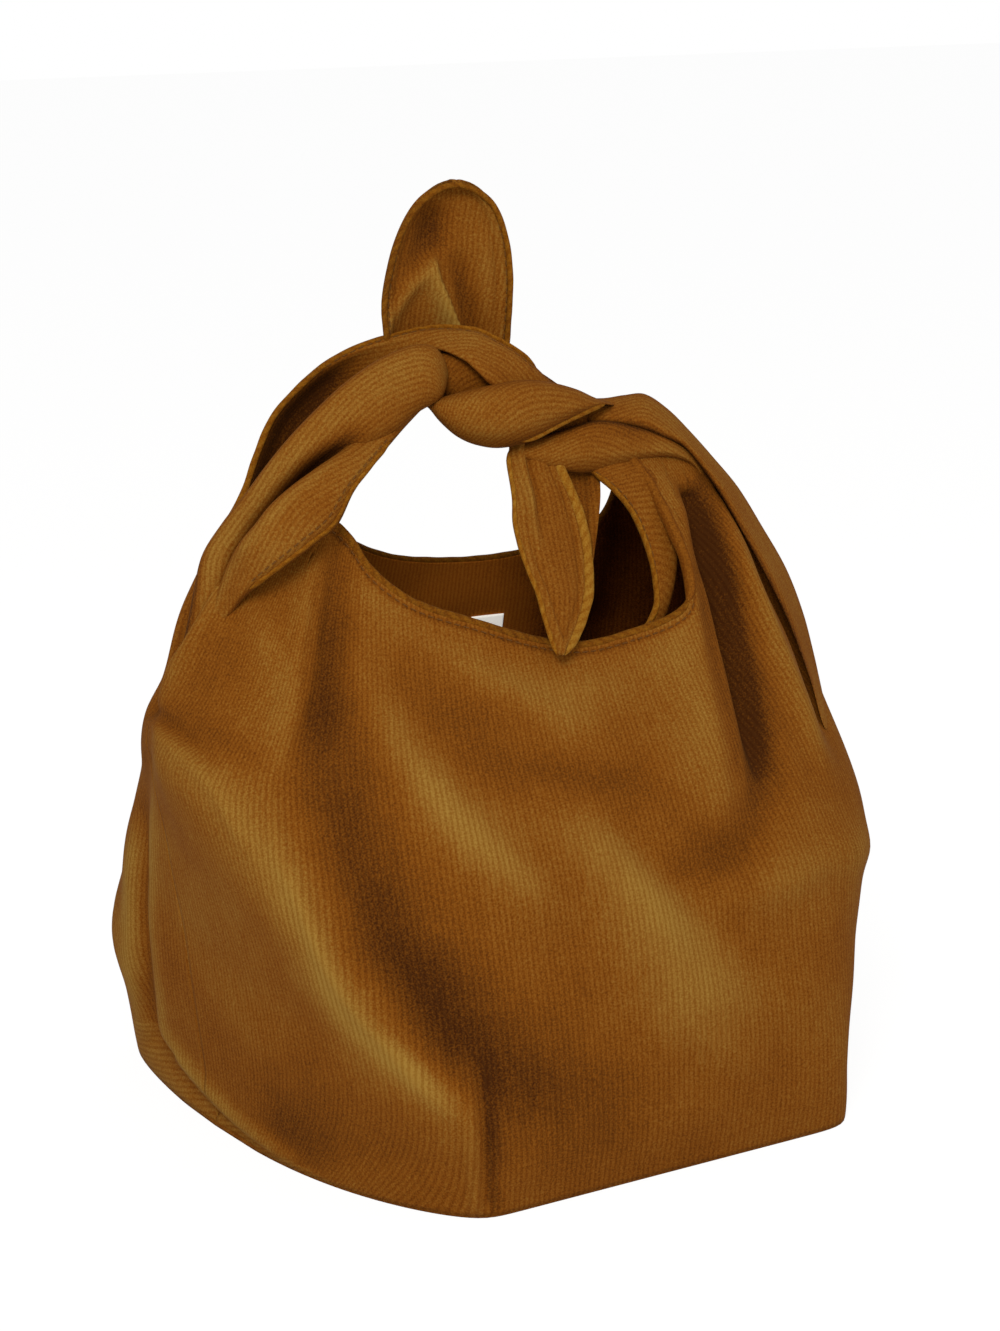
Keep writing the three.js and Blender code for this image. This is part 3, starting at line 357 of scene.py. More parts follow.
def grid_piece(name, points, material, wales, nap_and_shade=0.5, around=False, flip=False, closed_ends=False,
               turned=None):
    """A mesh from a grid of points. around joins the last column to the first, and closed_ends adds a
    middle point to the first and last row. wales is the UV in metres, (rows, columns + 1 if around, 2),
    and turned gives a mask of faces whose wales run another way, with their own UV."""
    rows, columns = points.shape[:2]
    r, c = np.meshgrid(np.arange(rows - 1), np.arange(columns if around else columns - 1), indexing="ij")
    c1 = (c + 1) % columns
    quads = np.stack([r * columns + c, r * columns + c1, (r + 1) * columns + c1, (r + 1) * columns + c], -1)
    uv_quads = np.stack([wales[r, c], wales[r, c + 1], wales[r + 1, c + 1], wales[r + 1, c]], -2)
    if turned is not None:
        mask, other = turned
        other_quads = np.stack([other[r, c], other[r, c + 1], other[r + 1, c + 1], other[r + 1, c]], -2)
        uv_quads = np.where(mask[r, c][..., None, None], other_quads, uv_quads)
    quads, uv_quads = quads.reshape(-1, 4), uv_quads.reshape(-1, 4, 2)
    verts = points.reshape(-1, 3)
    nap_and_shade = np.broadcast_to(nap_and_shade, (rows, columns)).reshape(-1)
    if flip:
        quads, uv_quads = quads[:, ::-1], uv_quads[:, ::-1]
    loops, uvs = quads.reshape(-1), uv_quads.reshape(-1, 2)
    starts = np.arange(len(quads)) * 4
    if closed_ends:
        ends = []
        for row, turn_round in ((0, not flip), (rows - 1, flip)):
            ring = row * columns + np.arange(columns)
            after = np.roll(ring, -1)
            middle = np.full(columns, len(verts))
            verts = np.vstack([verts, points[row].mean(0)])
            nap_and_shade = np.append(nap_and_shade, nap_and_shade[ring].mean())
            order = (after, ring, middle) if turn_round else (ring, after, middle)
            ends.append(np.stack(order, -1))
        caps = np.concatenate(ends)
        starts = np.append(starts, len(loops) + np.arange(len(caps)) * 3)
        loops = np.append(loops, caps.reshape(-1))
        uvs = np.vstack([uvs, np.zeros((caps.size, 2))])
    mesh = bpy.data.meshes.new(name)
    mesh.vertices.add(len(verts))
    mesh.vertices.foreach_set("co", np.ascontiguousarray(verts, np.float32).reshape(-1))
    mesh.loops.add(len(loops))
    mesh.loops.foreach_set("vertex_index", np.ascontiguousarray(loops, np.int32))
    mesh.polygons.add(len(starts))
    mesh.polygons.foreach_set("loop_start", np.ascontiguousarray(starts, np.int32))
    mesh.polygons.foreach_set("use_smooth", np.ones(len(starts), bool))
    mesh.update(calc_edges=True)
    mesh.validate()
    layer = mesh.uv_layers.new(name="wales")
    layer.data.foreach_set("uv", np.ascontiguousarray(uvs, np.float32).reshape(-1))
    mesh.attributes.new("nap_and_shade", "FLOAT", "POINT").data.foreach_set("value", nap_and_shade.astype(np.float32))
    mesh.materials.append(material)
    piece = bpy.data.objects.new(name, mesh)
    bpy.context.scene.collection.objects.link(piece)
    return piece


def thicken(piece, thickness, offset=-1.0):
    """Gives a sheet its wall with Solidify, on its inner side by default."""
    wall_maker = piece.modifiers.new("cloth_thickness", "SOLIDIFY")
    wall_maker.thickness, wall_maker.offset = thickness, offset
    return piece


SQUARES = [[0, 0], [1, 1], [2, 4]]
print("the square of 1.5 on a smooth curve:", float(smooth_rows(SQUARES, np.array([1.5]))[0, 0]))

# %% [markdown]
# ## The shape of the body
#
# The body stands on a boxed base, bulges to the front, and narrows to two ears. Its level sections are
# rounded boxes: a power of sine and cosine, with the front, back and side distances read from the
# photograph at ten heights. Place runs round the bag: the left seam, the front, the right seam, then
# the back. Lofting such sections is how a soft bag is best drawn, because cloth keeps its girth.

# %% Sections and rims
HALF_WIDTH, HALF_DEPTH, BEND_HEIGHT = 160 * MM, 120 * MM, 275 * MM
# Height share; left x at the front and back and its rate; right x at the front and back and its bow;
# front y, back y; roundness of the sides and of the front and back.
SECTIONS = [
    [0.000, -0.500, -0.925, 3.5, 0.775, 0.785, 0.03, -1.130, 0.905, 22.0, 6.0],
    [0.110, -0.530, -0.965, 3.0, 0.806, 0.815, 0.03, -1.160, 0.933, 11.0, 6.0],
    [0.273, -0.660, -1.025, 2.2, 0.880, 0.866, 0.08, -1.125, 0.933, 5.4, 4.8],
    [0.473, -0.920, -1.040, 1.4, 1.010, 0.912, 0.10, -1.010, 0.850, 3.6, 3.4],
    [0.636, -1.095, -0.995, 1.0, 1.030, 0.920, 0.04, -0.830, 0.700, 2.8, 2.4],
    [0.716, -1.105, -0.985, 1.0, 1.025, 0.910, 0.03, -0.700, 0.620, 2.6, 2.1],
    [0.782, -1.045, -0.940, 1.0, 1.010, 0.900, 0.02, -0.600, 0.550, 2.4, 1.9],
    [0.909, -0.960, -0.870, 1.0, 0.935, 0.840, 0.00, -0.460, 0.450, 2.2, 1.8],
    [1.060, -0.800, -0.725, 1.0, 0.735, 0.655, 0.00, -0.260, 0.320, 2.1, 1.8],
    [1.150, -0.670, -0.610, 1.0, 0.570, 0.510, 0.00, -0.120, 0.240, 2.1, 1.8],
]
FRONT_RIM = [
    [-0.68, 1.00], [-0.58, 0.84], [-0.50, 0.63], [-0.38, 0.42], [-0.21, 0.24], [-0.06, 0.08],
    [0.06, 0.00], [0.20, 0.02], [0.32, 0.08], [0.40, 0.20], [0.45, 0.42], [0.48, 0.68], [0.52, 1.00],
]
BACK_RIM = [
    [-0.62, 1.00], [-0.50, 0.78], [-0.38, 0.53], [-0.20, 0.22], [-0.03, 0.06],
    [0.14, 0.00], [0.30, 0.03], [0.42, 0.14], [0.525, 0.35], [0.60, 0.62], [0.655, 0.87], [0.675, 1.00],
]
FRONT_RIM_HEIGHT, BACK_RIM_HEIGHT = 228 * MM, 236 * MM
RIM_TOP, EAR_TOP = 289 * MM, 300 * MM
EAR_DIP, EAR_DIP_WIDTH = 25 * MM, 0.42


def wall(place, height):
    """Outer surface of the body. x is the side distance times sine to the power 2/roundness, y is the
    front or back distance times cosine to the power 2/roundness, and place is the share of the quarter
    section's length from the middle of the front or back to the seam. Also gives that length."""
    place, height = np.broadcast_arrays(np.asarray(place, float), np.asarray(height, float))
    place = (place + 1) % 4 - 1
    face = np.where(place <= 1, -1.0, 1.0)
    side = np.where(place <= 1, place, 2 - place)
    row = smooth_rows(SECTIONS, height / BEND_HEIGHT)
    (left_front, left_back, left_rate, right_front, right_back, right_bow,
     front, back, round_sides, round_faces) = np.moveaxis(row, -1, 0)[..., None]
    angle = np.linspace(0, np.pi / 2, 121)
    p = np.sin(angle) ** (2 / round_sides)
    q = face[..., None] * np.clip(np.cos(angle), 0, 1) ** (2 / round_faces)
    deep = (q + 1) / 2
    left = left_front + (left_back - left_front) * (1 - np.clip(1 - deep, 0, 1) ** left_rate)
    right = right_front + (right_back - right_front) * deep + right_bow * (1 - q * q)
    x = np.where(side[..., None] < 0, left, right) * p * HALF_WIDTH
    y = np.where(face[..., None] < 0, -front * q, back * q) * HALF_DEPTH
    walked = lengths(np.stack([x, y], -1), axis=x.ndim - 1)
    wanted = np.abs(side) * walked[..., -1]
    i = np.clip((walked < wanted[..., None]).sum(-1), 1, 120)[..., None]
    low, high = (np.take_along_axis(walked, j, -1) for j in (i - 1, i))
    k = (wanted[..., None] - low) / np.maximum(high - low, 1e-12)
    xy = [np.take_along_axis(a, i - 1, -1) * (1 - k) + np.take_along_axis(a, i, -1) * k for a in (x, y)]
    return np.stack([xy[0][..., 0], xy[1][..., 0], height], -1), walked[..., -1]


def wall_normal(place, height):
    """Outward normal of the body: across the bag crossed with up the bag, each from two near points."""
    across = wall(place + 0.012, height)[0] - wall(place - 0.012, height)[0]
    rise = wall(place, height + 2 * MM)[0] - wall(place, np.maximum(height - 2 * MM, 0))[0]
    return unit(np.cross(across, rise))


def rim_height(rows, lowest, side):
    """Height of a rim at a side place from -1, the left seam, to 1, the right seam. Where the straps
    leave the left ear, the ear dips by e to the minus fourth power of the distance from the seam."""
    rise = smooth_rows(rows, side)[..., 0]
    inside = (side > rows[0][0]) & (side < rows[-1][0])
    ear = EAR_TOP - EAR_DIP * np.exp(-((side + 1) / EAR_DIP_WIDTH) ** 4)
    return np.where(inside, lowest + (RIM_TOP - lowest) * rise, ear)


print("girth at mid height", round(float(wall(np.array([0.5, -0.5, 1.5, 2.5]), 0.13)[1].sum()), 3), "m")

# %% [markdown]
# ## Folds
#
# Soft cloth that hangs from two ears folds along lines of pull. The main folds are lines on the cloth
# itself, as the solids have them: place, height and rise, with a width on each side. Finer ones are
# drawn through guide points in the picture. A ridge has a positive rise and a valley a negative one, and
# unlike widths make one side steep, as where cloth laps over. All folds also paint light and shade into
# the nap value: a painted highlight on each ridge and painted shade in each crease.

# %% The main folds
# Width in mm on the left and on the right hand when the line is walked from its first row, then rows of
# place, height as a share of the bend height, and rise in mm.
FRONT_FOLDS = [
    (12, 26, [(-0.99, 0.730, 0), (-0.93, 0.715, 3.5), (-0.80, 0.685, 4.5), (-0.705, 0.635, 4.5),
              (-0.635, 0.56, 5), (-0.59, 0.48, 5.5), (-0.555, 0.40, 5.5), (-0.505, 0.32, 5),
              (-0.44, 0.24, 4.5), (-0.38, 0.18, 3.5), (-0.345, 0.12, 2), (-0.34, 0.04, 0)]),
    (20, 12, [(-0.60, 0.80, 0), (-0.565, 0.70, -3), (-0.535, 0.61, -5), (-0.505, 0.51, -6),
              (-0.445, 0.39, -6), (-0.36, 0.28, -4.5), (-0.25, 0.20, -2.5), (-0.12, 0.14, 0)]),
    (14, 20, [(-0.16, 0.64, 0), (-0.04, 0.556, 3), (0.01, 0.49, 4), (0.05, 0.425, 4.5), (0.10, 0.335, 4.5),
              (0.20, 0.25, 3), (0.29, 0.17, 0)]),
    (13, 15, [(-0.55, 0.89, 0), (-0.48, 0.81, 3), (-0.42, 0.74, 4), (-0.36, 0.68, 4.5), (-0.28, 0.59, 4.5),
              (-0.19, 0.52, 3.5), (-0.10, 0.43, 0)]),
    (12, 6, [(-0.62, 1.01, -2), (-0.60, 0.956, -5), (-0.585, 0.88, -6.5), (-0.585, 0.796, -5.5),
             (-0.60, 0.705, -3.5), (-0.61, 0.63, -1), (-0.61, 0.58, 0)]),
    (9, 20, [(0.56, 1.00, 3), (0.445, 0.916, 5), (0.37, 0.80, 6), (0.30, 0.69, 5.5), (0.255, 0.593, 3),
             (0.23, 0.527, 0)]),
    (12, 7, [(0.66, 0.993, -8), (0.56, 0.91, -10), (0.52, 0.83, -11), (0.47, 0.742, -11),
             (0.405, 0.65, -9), (0.355, 0.575, -5), (0.315, 0.52, 0)]),
    (10, 9, [(0.77, 0.98, 2), (0.68, 0.89, 4.5), (0.645, 0.79, 5), (0.605, 0.70, 4.5),
             (0.56, 0.612, 3), (0.53, 0.52, 0)]),
    (9, 9, [(0.885, 1.00, -2), (0.82, 0.93, -5), (0.785, 0.847, -5.5), (0.765, 0.75, -5),
            (0.69, 0.66, -3.5), (0.60, 0.56, 0)]),
    (13, 7, [(0.09, 0.50, 0), (0.16, 0.488, -3), (0.22, 0.487, -4.5), (0.28, 0.503, -5),
             (0.33, 0.535, -3.5), (0.36, 0.575, 0)]),
    (9, 11, [(0.62, 0.42, 3), (0.45, 0.45, 3), (0.33, 0.44, 3), (0.22, 0.435, 2), (0.13, 0.43, 0)]),
]
BACK_FOLDS = [
    (12, 10, [(-0.60, 0.97, -4), (-0.52, 0.86, -6), (-0.44, 0.73, -6), (-0.38, 0.60, -3),
             (-0.34, 0.50, 0)]),
    (12, 14, [(-0.74, 0.98, 3), (-0.66, 0.85, 5), (-0.58, 0.72, 5), (-0.50, 0.58, 4), (-0.42, 0.42, 2.5),
             (-0.36, 0.28, 0)]),
    (9, 9, [(-0.88, 0.95, -2), (-0.82, 0.82, -4), (-0.76, 0.70, -4), (-0.70, 0.58, 0)]),
    (10, 12, [(0.56, 0.97, -4), (0.50, 0.86, -6), (0.43, 0.74, -6), (0.36, 0.62, -3), (0.30, 0.52, 0)]),
    (14, 12, [(0.70, 0.98, 3), (0.63, 0.85, 5), (0.56, 0.72, 5), (0.50, 0.58, 4), (0.44, 0.42, 2),
             (0.40, 0.30, 0)]),
    (9, 9, [(0.86, 0.95, -3), (0.80, 0.82, -4.5), (0.74, 0.70, -4.5), (0.68, 0.58, 0)]),
    (30, 30, [(-0.10, 0.80, 0), (-0.02, 0.62, -3), (0.02, 0.45, -3.5), (0.05, 0.28, 0)]),
    (14, 14, [(-0.45, 0.55, 0), (-0.55, 0.40, 3), (-0.66, 0.25, 3.5), (-0.74, 0.12, 0)]),
    (14, 14, [(0.45, 0.50, 0), (0.56, 0.36, 3), (0.66, 0.22, 3.5), (0.74, 0.10, 0)]),
]
HALF_GIRTH = 235 * MM
FOLD_FADE = 0.1


def bell(spots, guide, left_width, right_width):
    """Rise of one fold over a plane of spots. It is the line's rise at the nearest place of the line, and
    falls off to each side by e to the minus square of distance over width."""
    guide = np.array(guide, float)
    line = smooth_rows(np.column_stack([np.linspace(0, 1, len(guide)), guide]),
                       np.linspace(0, 1, 6 * len(guide)))
    nearest = np.full(spots.shape[:-1], np.inf)
    rise, turn = np.zeros_like(nearest), np.zeros_like(nearest)
    for a, b in zip(line[:-1], line[1:]):
        along = b[:2] - a[:2]
        k = np.clip(((spots - a[:2]) @ along) / (along @ along), 0, 1)
        away = spots - a[:2] - k[..., None] * along
        far = np.hypot(away[..., 0], away[..., 1])
        nearer = far < nearest
        nearest = np.where(nearer, far, nearest)
        rise = np.where(nearer, a[2] + (b[2] - a[2]) * k, rise)
        turn = np.where(nearer, along[0] * away[..., 1] - along[1] * away[..., 0], turn)
    return rise * np.exp(-(nearest / np.where(turn > 0, left_width, right_width)) ** 2)


def main_folds(place, height):
    """Sum of the folds of the front or back, in mm, which fades to nothing at the seams and the foot."""
    place = (place + 1) % 4 - 1
    side = np.where(place <= 1, place, 2 - place)
    spots = np.stack([side * HALF_GIRTH / MM, height / MM], -1)
    scale = np.array([HALF_GIRTH / MM, BEND_HEIGHT / MM, 1.0])
    faces = [sum(bell(spots, np.array(line) * scale, left, right) for left, right, line in folds)
             for folds in (FRONT_FOLDS, BACK_FOLDS)]
    fade = ease(0, FOLD_FADE, 1 - np.abs(side)) * ease(0, FOLD_FADE, height / BEND_HEIGHT)
    return np.where(place <= 1, faces[0], faces[1]) * fade


# %% The finer folds
# Guide points of x and y in picture pixels and rise in mm, then the width in pixels on the left and on
# the right hand when walking along.
FINE_FOLDS = {
    "dip_above_pull": ([(150, 706, -2.0), (172, 722, -3.5), (196, 742, -3.0), (222, 768, 0.0)], 7, 9),
    "crest_of_pull": ([(157, 724, 1.0), (191, 752, 1.6), (218, 786, 1.4), (240, 826, 1.2),
                       (268, 872, 0.0)], 5, 7),
    "second_pull": ([(262, 762, 0.0), (272, 810, 1.4), (284, 850, 1.8), (310, 908, 2.2), (332, 962, 2.0),
                     (362, 1008, 2.0), (392, 1042, 2.0), (424, 1082, 1.6), (458, 1114, 0.8)], 7, 9),
    "front_corner": ([(468, 1062, 0.0), (470, 1100, 1.6), (473, 1150, 2.6), (476, 1214, 2.6)], 5, 8),
    "beside_corner": ([(482, 1062, 0.0), (484, 1110, -1.6), (487, 1160, -1.8), (490, 1210, -1.0)], 6, 6),
    "ear_patch": ([(250, 602, 1.0), (262, 634, 2.2), (272, 668, 1.4), (276, 700, 0.0)], 14, 12),
    "beside_crease": ([(312, 560, 1.5), (304, 610, 2.6), (298, 658, 2.6), (291, 706, 1.6),
                       (286, 740, 0.0)], 8, 14),
    "middle_streak": ([(452, 648, 0.0), (490, 680, 1.6), (535, 705, 2.0), (582, 722, 1.6),
                       (620, 716, 0.0)], 14, 14),
    "below_streak": ([(500, 742, 0.0), (550, 766, -1.6), (600, 776, -1.6), (640, 768, -2.0),
                      (644, 730, 0.0)], 14, 14),
    "right_hollow": ([(600, 800, 0.0), (650, 850, -2.0), (700, 900, -1.6), (750, 950, -1.0),
                      (800, 990, 0.0)], 20, 20),
    "low_streak": ([(640, 1010, 0.0), (690, 1030, 1.0), (740, 1060, 1.2), (790, 1080, 0.0)], 18, 18),
    "valley_floor": ([(700, 500, -4.0), (712, 545, -5.0), (726, 600, -6.0), (740, 660, -6.0),
                      (754, 716, -5.0), (766, 770, -3.0), (770, 800, 0.0)], 12, 5),
    "lobe_crest": ([(712, 505, 1.0), (742, 575, 2.0), (768, 640, 2.0), (792, 700, 1.5),
                    (815, 760, 0.0)], 7, 8),
    "lobe_crease": ([(722, 486, -2.0), (752, 540, -3.0), (778, 590, -3.0), (800, 640, -3.0),
                     (816, 690, -2.0), (830, 750, 0.0)], 5, 6),
    "crest_of_left_ear": ([(158, 704, 1.5), (173, 668, 3.0), (191, 639, 3.5), (213, 603, 3.5),
                           (228, 564, 2.0)], 6, 12),
    "behind_left_crest": ([(146, 712, -2.0), (162, 664, -6.0), (182, 632, -8.0), (204, 590, -8.0)], 9, 6),
    "behind_left_bulge": ([(138, 760, -3.0), (134, 830, -6.0), (135, 920, -6.0), (140, 985, -6.0),
                           (149, 1036, -5.0), (166, 1056, -3.0)], 9, 5),
    "foot_edge": ([(152, 1000, 0.0), (160, 1032, 1.5), (178, 1054, 2.5), (206, 1086, 2.5),
                   (232, 1114, 2.5), (258, 1136, 2.5), (284, 1155, 2.0), (306, 1167, 0.0)], 7, 4),
    "under_foot_edge": ([(146, 1040, -2.0), (170, 1066, -3.5), (196, 1096, -3.5), (222, 1122, -3.0),
                         (250, 1144, -2.5), (280, 1163, 0.0)], 4, 6),
    "rim_dip": ([(420, 640, 0.0), (480, 668, 1.0), (540, 690, 1.4), (600, 684, 1.4),
                 (650, 660, 1.0)], 18, 26),
}
FINE_FADE = 6 * MM
PICTURE_UP = np.array([1.0, -1.0, 1.0])


def drawn(points, lines):
    """Sum at points of bells along lines that are drawn in the picture, with up counted upwards."""
    seen = to_pixels(points) * PICTURE_UP[:2]
    return sum(bell(seen, np.array(guide) * PICTURE_UP, left, right) for guide, left, right in lines)


def facing_view(points, normals):
    """How far the cloth faces the camera: 0 where it turns away from it, 1 where it clearly faces it."""
    return ease(0.02, 0.22, (normals * unit(CAMERA_PLACE - points)).sum(-1))


def fine_folds(points, normals):
    """Sum of the finer folds, in mm. They are read in the picture, so each fades where the cloth turns
    away from that view."""
    return facing_view(points, normals) * drawn(points, FINE_FOLDS.values())


def soft_waves(points):
    """Gentle unevenness, in mm, that keeps the cloth alive where no fold is drawn: a few long sine waves
    that lean across the body."""
    x, y, z = np.moveaxis(points, -1, 0) / MM
    return (0.55 * (np.sin(x / 31 + z / 47 + 1.0) + 0.8 * np.sin(x / 57 - z / 39 + y / 43)
                    + 0.6 * np.sin(y / 29 + z / 61 + 2.0))
            + 0.16 * (np.sin(x / 7.3 + z / 11 + y / 13) + np.sin(x / 11 - z / 8.1 + 0.7 * y / 9)))


print(len(FRONT_FOLDS) + len(BACK_FOLDS), "main folds and", len(FINE_FOLDS), "finer ones")

# %% [markdown]
# ## The brushed pile and painted light
#
# Corduroy shows where creases and hands have laid its pile. Brushed up it looks light and olive, and
# brushed down it looks dark and red. The same strokes also paint light and shade: painted highlights
# along ridges and streaks, and painted shade in hollows, slits and beside the foot's corner. They have no
# shape of their own, so they only change the nap. A painted mask could hold them too, but a few strokes
# stay easy to read and move.

# %% Where the pile is brushed
# Guide points of x and y in picture pixels and how much lighter each place gets from brushed pile and
# painted light, or darker below nothing from brushed pile and painted shade; then the width in pixels on
# each side. All strokes are made stronger by one factor.
STROKE = 1.5
PILE_AND_LIGHT_STROKES = {
    "ridge": ([(175, 735, 0.03), (230, 795, 0.05), (275, 860, 0.08), (312, 930, 0.14), (352, 1010, 0.26),
               (408, 1062, 0.26), (450, 1100, 0.12)], 9, 15),
    "left_bulge": ([(190, 800, 0.0), (215, 900, 0.05), (270, 1000, 0.03), (360, 1100, -0.06),
                    (430, 1160, -0.04)], 46, 50),
    "bulge_edge": ([(150, 760, 0.10), (146, 850, 0.20), (150, 950, 0.20), (158, 1010, 0.20),
                    (172, 1045, 0.20), (230, 1112, 0.16), (290, 1158, 0.10)], 8, 5),
    "left_strip": ([(130, 740, 0.10), (125, 860, 0.25), (128, 960, 0.25), (132, 1020, 0.15)], 8, 8),
    "foot_patch": ([(260, 1080, -0.06), (285, 1120, -0.14), (310, 1145, -0.10)], 26, 26),
    "ear": ([(250, 600, 0.02), (266, 660, 0.05), (290, 720, 0.05), (300, 780, 0.0)], 22, 24),
    "red_below_ear": ([(170, 712, -0.08), (215, 736, -0.12), (255, 760, -0.08), (290, 800, 0.0)], 14, 18),
    "hollow": ([(318, 650, -0.06), (335, 760, -0.10), (362, 860, -0.12), (410, 960, -0.12),
                (460, 1040, -0.10)], 70, 28),
    "streak": ([(345, 645, 0.0), (390, 725, 0.10), (430, 785, 0.12), (480, 840, 0.12),
                (530, 880, 0.06)], 18, 18),
    "red_middle": ([(440, 690, -0.06), (480, 760, -0.08), (560, 780, -0.08), (640, 790, -0.06)], 34, 30),
    "low_middle": ([(490, 1010, -0.06), (540, 1080, -0.14), (610, 1120, -0.12),
                    (680, 1120, -0.05)], 60, 60),
    "second_streak": ([(560, 815, 0.0), (615, 860, 0.09), (665, 910, 0.11), (730, 970, 0.05)], 26, 22),
    "right_low": ([(600, 900, 0.03), (690, 950, 0.07), (760, 990, 0.07), (820, 1010, 0.04)], 46, 60),
    "under_rim": ([(380, 600, 0.04), (460, 660, 0.08), (560, 690, 0.08), (640, 690, 0.02)], 24, 26),
    "front_fold": ([(690, 520, -0.10), (700, 600, -0.14), (715, 680, -0.14), (735, 750, -0.10)], 8, 24),
    "slit": ([(700, 480, -0.16), (717, 546, -0.30), (735, 620, -0.42), (752, 690, -0.40),
              (766, 770, -0.15)], 12, 7),
    "beside_corner": ([(484, 1062, -0.08), (488, 1120, -0.20), (490, 1200, -0.16)], 14, 4),
}
# Nap of plain cloth, and the painted light and shade that each mm of fold rise adds: lighter on ridges,
# darker in creases.
PLAIN_NAP, FOLD_PAINTED_LIGHT = 0.5, 0.04


def pile_and_light(points, normals):
    """Sum of the strokes of brushed pile and painted light and shade, which fade where the cloth turns away
    from the picture's view.
    """
    return STROKE * facing_view(points, normals) * drawn(points, PILE_AND_LIGHT_STROKES.values())


def cloth_wall(place, height, inset=0.0):
    """The body with its folds: the lofted wall moved level by the main folds, then square to itself by
    the finer ones and the waves, and in by the inset. A fold also paints light into the nap value: a
    painted highlight on its ridge and painted shade in its crease."""
    base, girth = wall(place, height)
    normal = wall_normal(place, height)
    main = main_folds(place, height)
    fine = fine_folds(base, normal) * ease(0, FINE_FADE, height)
    waves = soft_waves(base) * ease(0, FOLD_FADE * BEND_HEIGHT, height)
    level = unit(normal * np.array([1.0, 1.0, 0.0]))
    points = base + level * (main * MM)[..., None] + normal * ((fine + waves) * MM - inset)[..., None]
    nap_and_shade = PLAIN_NAP + (main + fine) * FOLD_PAINTED_LIGHT + pile_and_light(base, normal)
    return points, normal, girth, np.clip(nap_and_shade, 0, 1)


print(len(PILE_AND_LIGHT_STROKES), "brush strokes")

# %% [markdown]
# ## Front, back and lining
#
# The outer bag is two panels that meet at the side seams, and the lining repeats them a little inside.
# The wales run up and down each panel. The cloth keeps them evenly spaced, so U is the walked distance
# from the panel's middle, eased towards the panel's own outline so that the wales lean with the sides.
# At the left foot the base is turned up a little. The wales run another way there, so the faces below
# that crease get their own UV.

# %% The panels
SHELL_THICKNESS, LINING_INSET, LINING_THICKNESS = 1.3 * MM, 2.2 * MM, 0.9 * MM
PANEL_FOOT, LINING_FOOT = 1.0 * MM, 3.0 * MM
HEM_RADIUS = 1.9 * MM
ROW_CROWDING = 1.35
WALE_REFERENCE, WALE_FOLLOW = 235 * MM, 0.35
FOOT_LEAN, FOOT_LEAN_HEIGHT = 0.4, 60 * MM
EAR_LEAN, EAR_LEAN_HEIGHT, EAR_LEAN_FADE = 0.6, 175 * MM, 30 * MM
SEAM_DROP, SEAM_DEPTH, SEAM_WIDTH = 4.2 * MM, 0.4 * MM, 1.0 * MM
# What the rim's seam and the base's strip do to the nap, and the painted shade put inside the right ear.
SEAM_NAP, STRIP_NAP, INSIDE_PAINTED_SHADE = -0.22, 0.2, -0.4
INSIDE_SHADE_FROM, INSIDE_SHADE_TO, INSIDE_SHADE_HEIGHT = 0.26, 0.40, 150 * MM
# Place and height in mm of the crease where the base is turned up at the left.
FOOT_EDGE = [[-1.50, 0], [-1.40, 12], [-1.30, 24], [-1.23, 27], [-1.14, 27], [-1.08, 25], [-1.03, 21],
             [-0.985, 14], [-0.925, 10], [-0.84, 8], [-0.77, 5], [-0.70, 4], [-0.62, 0]]
FOOT_TURN = np.radians(74)


def across_wales(face, side, height, girth):
    """Distance across the wales from the panel's middle. On the front they also lean: near the left corner
    of the foot by the square of the way below a height, and in the left ear by the way above one."""
    across = side * (WALE_FOLLOW * girth + (1 - WALE_FOLLOW) * WALE_REFERENCE)
    if face > 0:
        return across
    corner = ease(-0.98, -0.66, side) * (1 - ease(-0.56, -0.28, side))
    below = np.maximum(FOOT_LEAN_HEIGHT - height, 0)
    above = np.maximum(height - EAR_LEAN_HEIGHT, 0)
    ear = ease(0, EAR_LEAN_FADE, above) * (1 - ease(-0.92, -0.48, side))
    return across + FOOT_LEAN * below**2 / FOOT_LEAN_HEIGHT * corner - EAR_LEAN * above * ear


def panel(name, face, rim, lowest, columns, rows, inset, thickness, material, foot):
    """Half the bag: columns run from the left to the right seam and rows from the foot to the rim. A
    row's height share is one minus a power of what is left, so that rows crowd near the rim."""
    side = np.linspace(-1, 1, columns)
    place = side if face < 0 else 2 - side
    top = rim_height(rim, lowest, side) - HEM_RADIUS * (0.6 if inset == 0 else 1.0)
    height = foot + (top - foot) * (1 - (1 - np.linspace(0, 1, rows)[:, None]) ** ROW_CROWDING)
    points, normal, girth, nap_and_shade = cloth_wall(np.broadcast_to(place, height.shape), height, inset)
    across = across_wales(face, side, height, girth)
    crease = smooth_rows(FOOT_EDGE, np.where(place > 1, place - 4, place))[..., 0] * MM
    turned_up = np.sin(FOOT_TURN) * height + face * np.cos(FOOT_TURN) * across
    half_row = (top - foot) / rows / 2
    turned = (height + half_row < crease, np.stack([turned_up, height], -1))
    if inset == 0:
        seam = np.exp(-((top - height - SEAM_DROP) / SEAM_WIDTH) ** 2) * (top < RIM_TOP)
        points = points - normal * (SEAM_DEPTH * seam)[..., None]
        nap_and_shade = nap_and_shade + SEAM_NAP * seam + STRIP_NAP * (1 - ease(crease - MM, crease + MM, height))
    else:
        # Painted shade inside the right ear: darker towards the right and higher up.
        shade = ease(INSIDE_SHADE_FROM, INSIDE_SHADE_TO, side) * ease(0, INSIDE_SHADE_HEIGHT, height)
        nap_and_shade = nap_and_shade + INSIDE_PAINTED_SHADE * shade
    piece = grid_piece(name, points, material, np.stack([across, height], -1), np.clip(nap_and_shade, 0, 1),
                       flip=face > 0, turned=turned)
    print(name, points.shape[:2], "points")
    return thicken(piece, thickness)


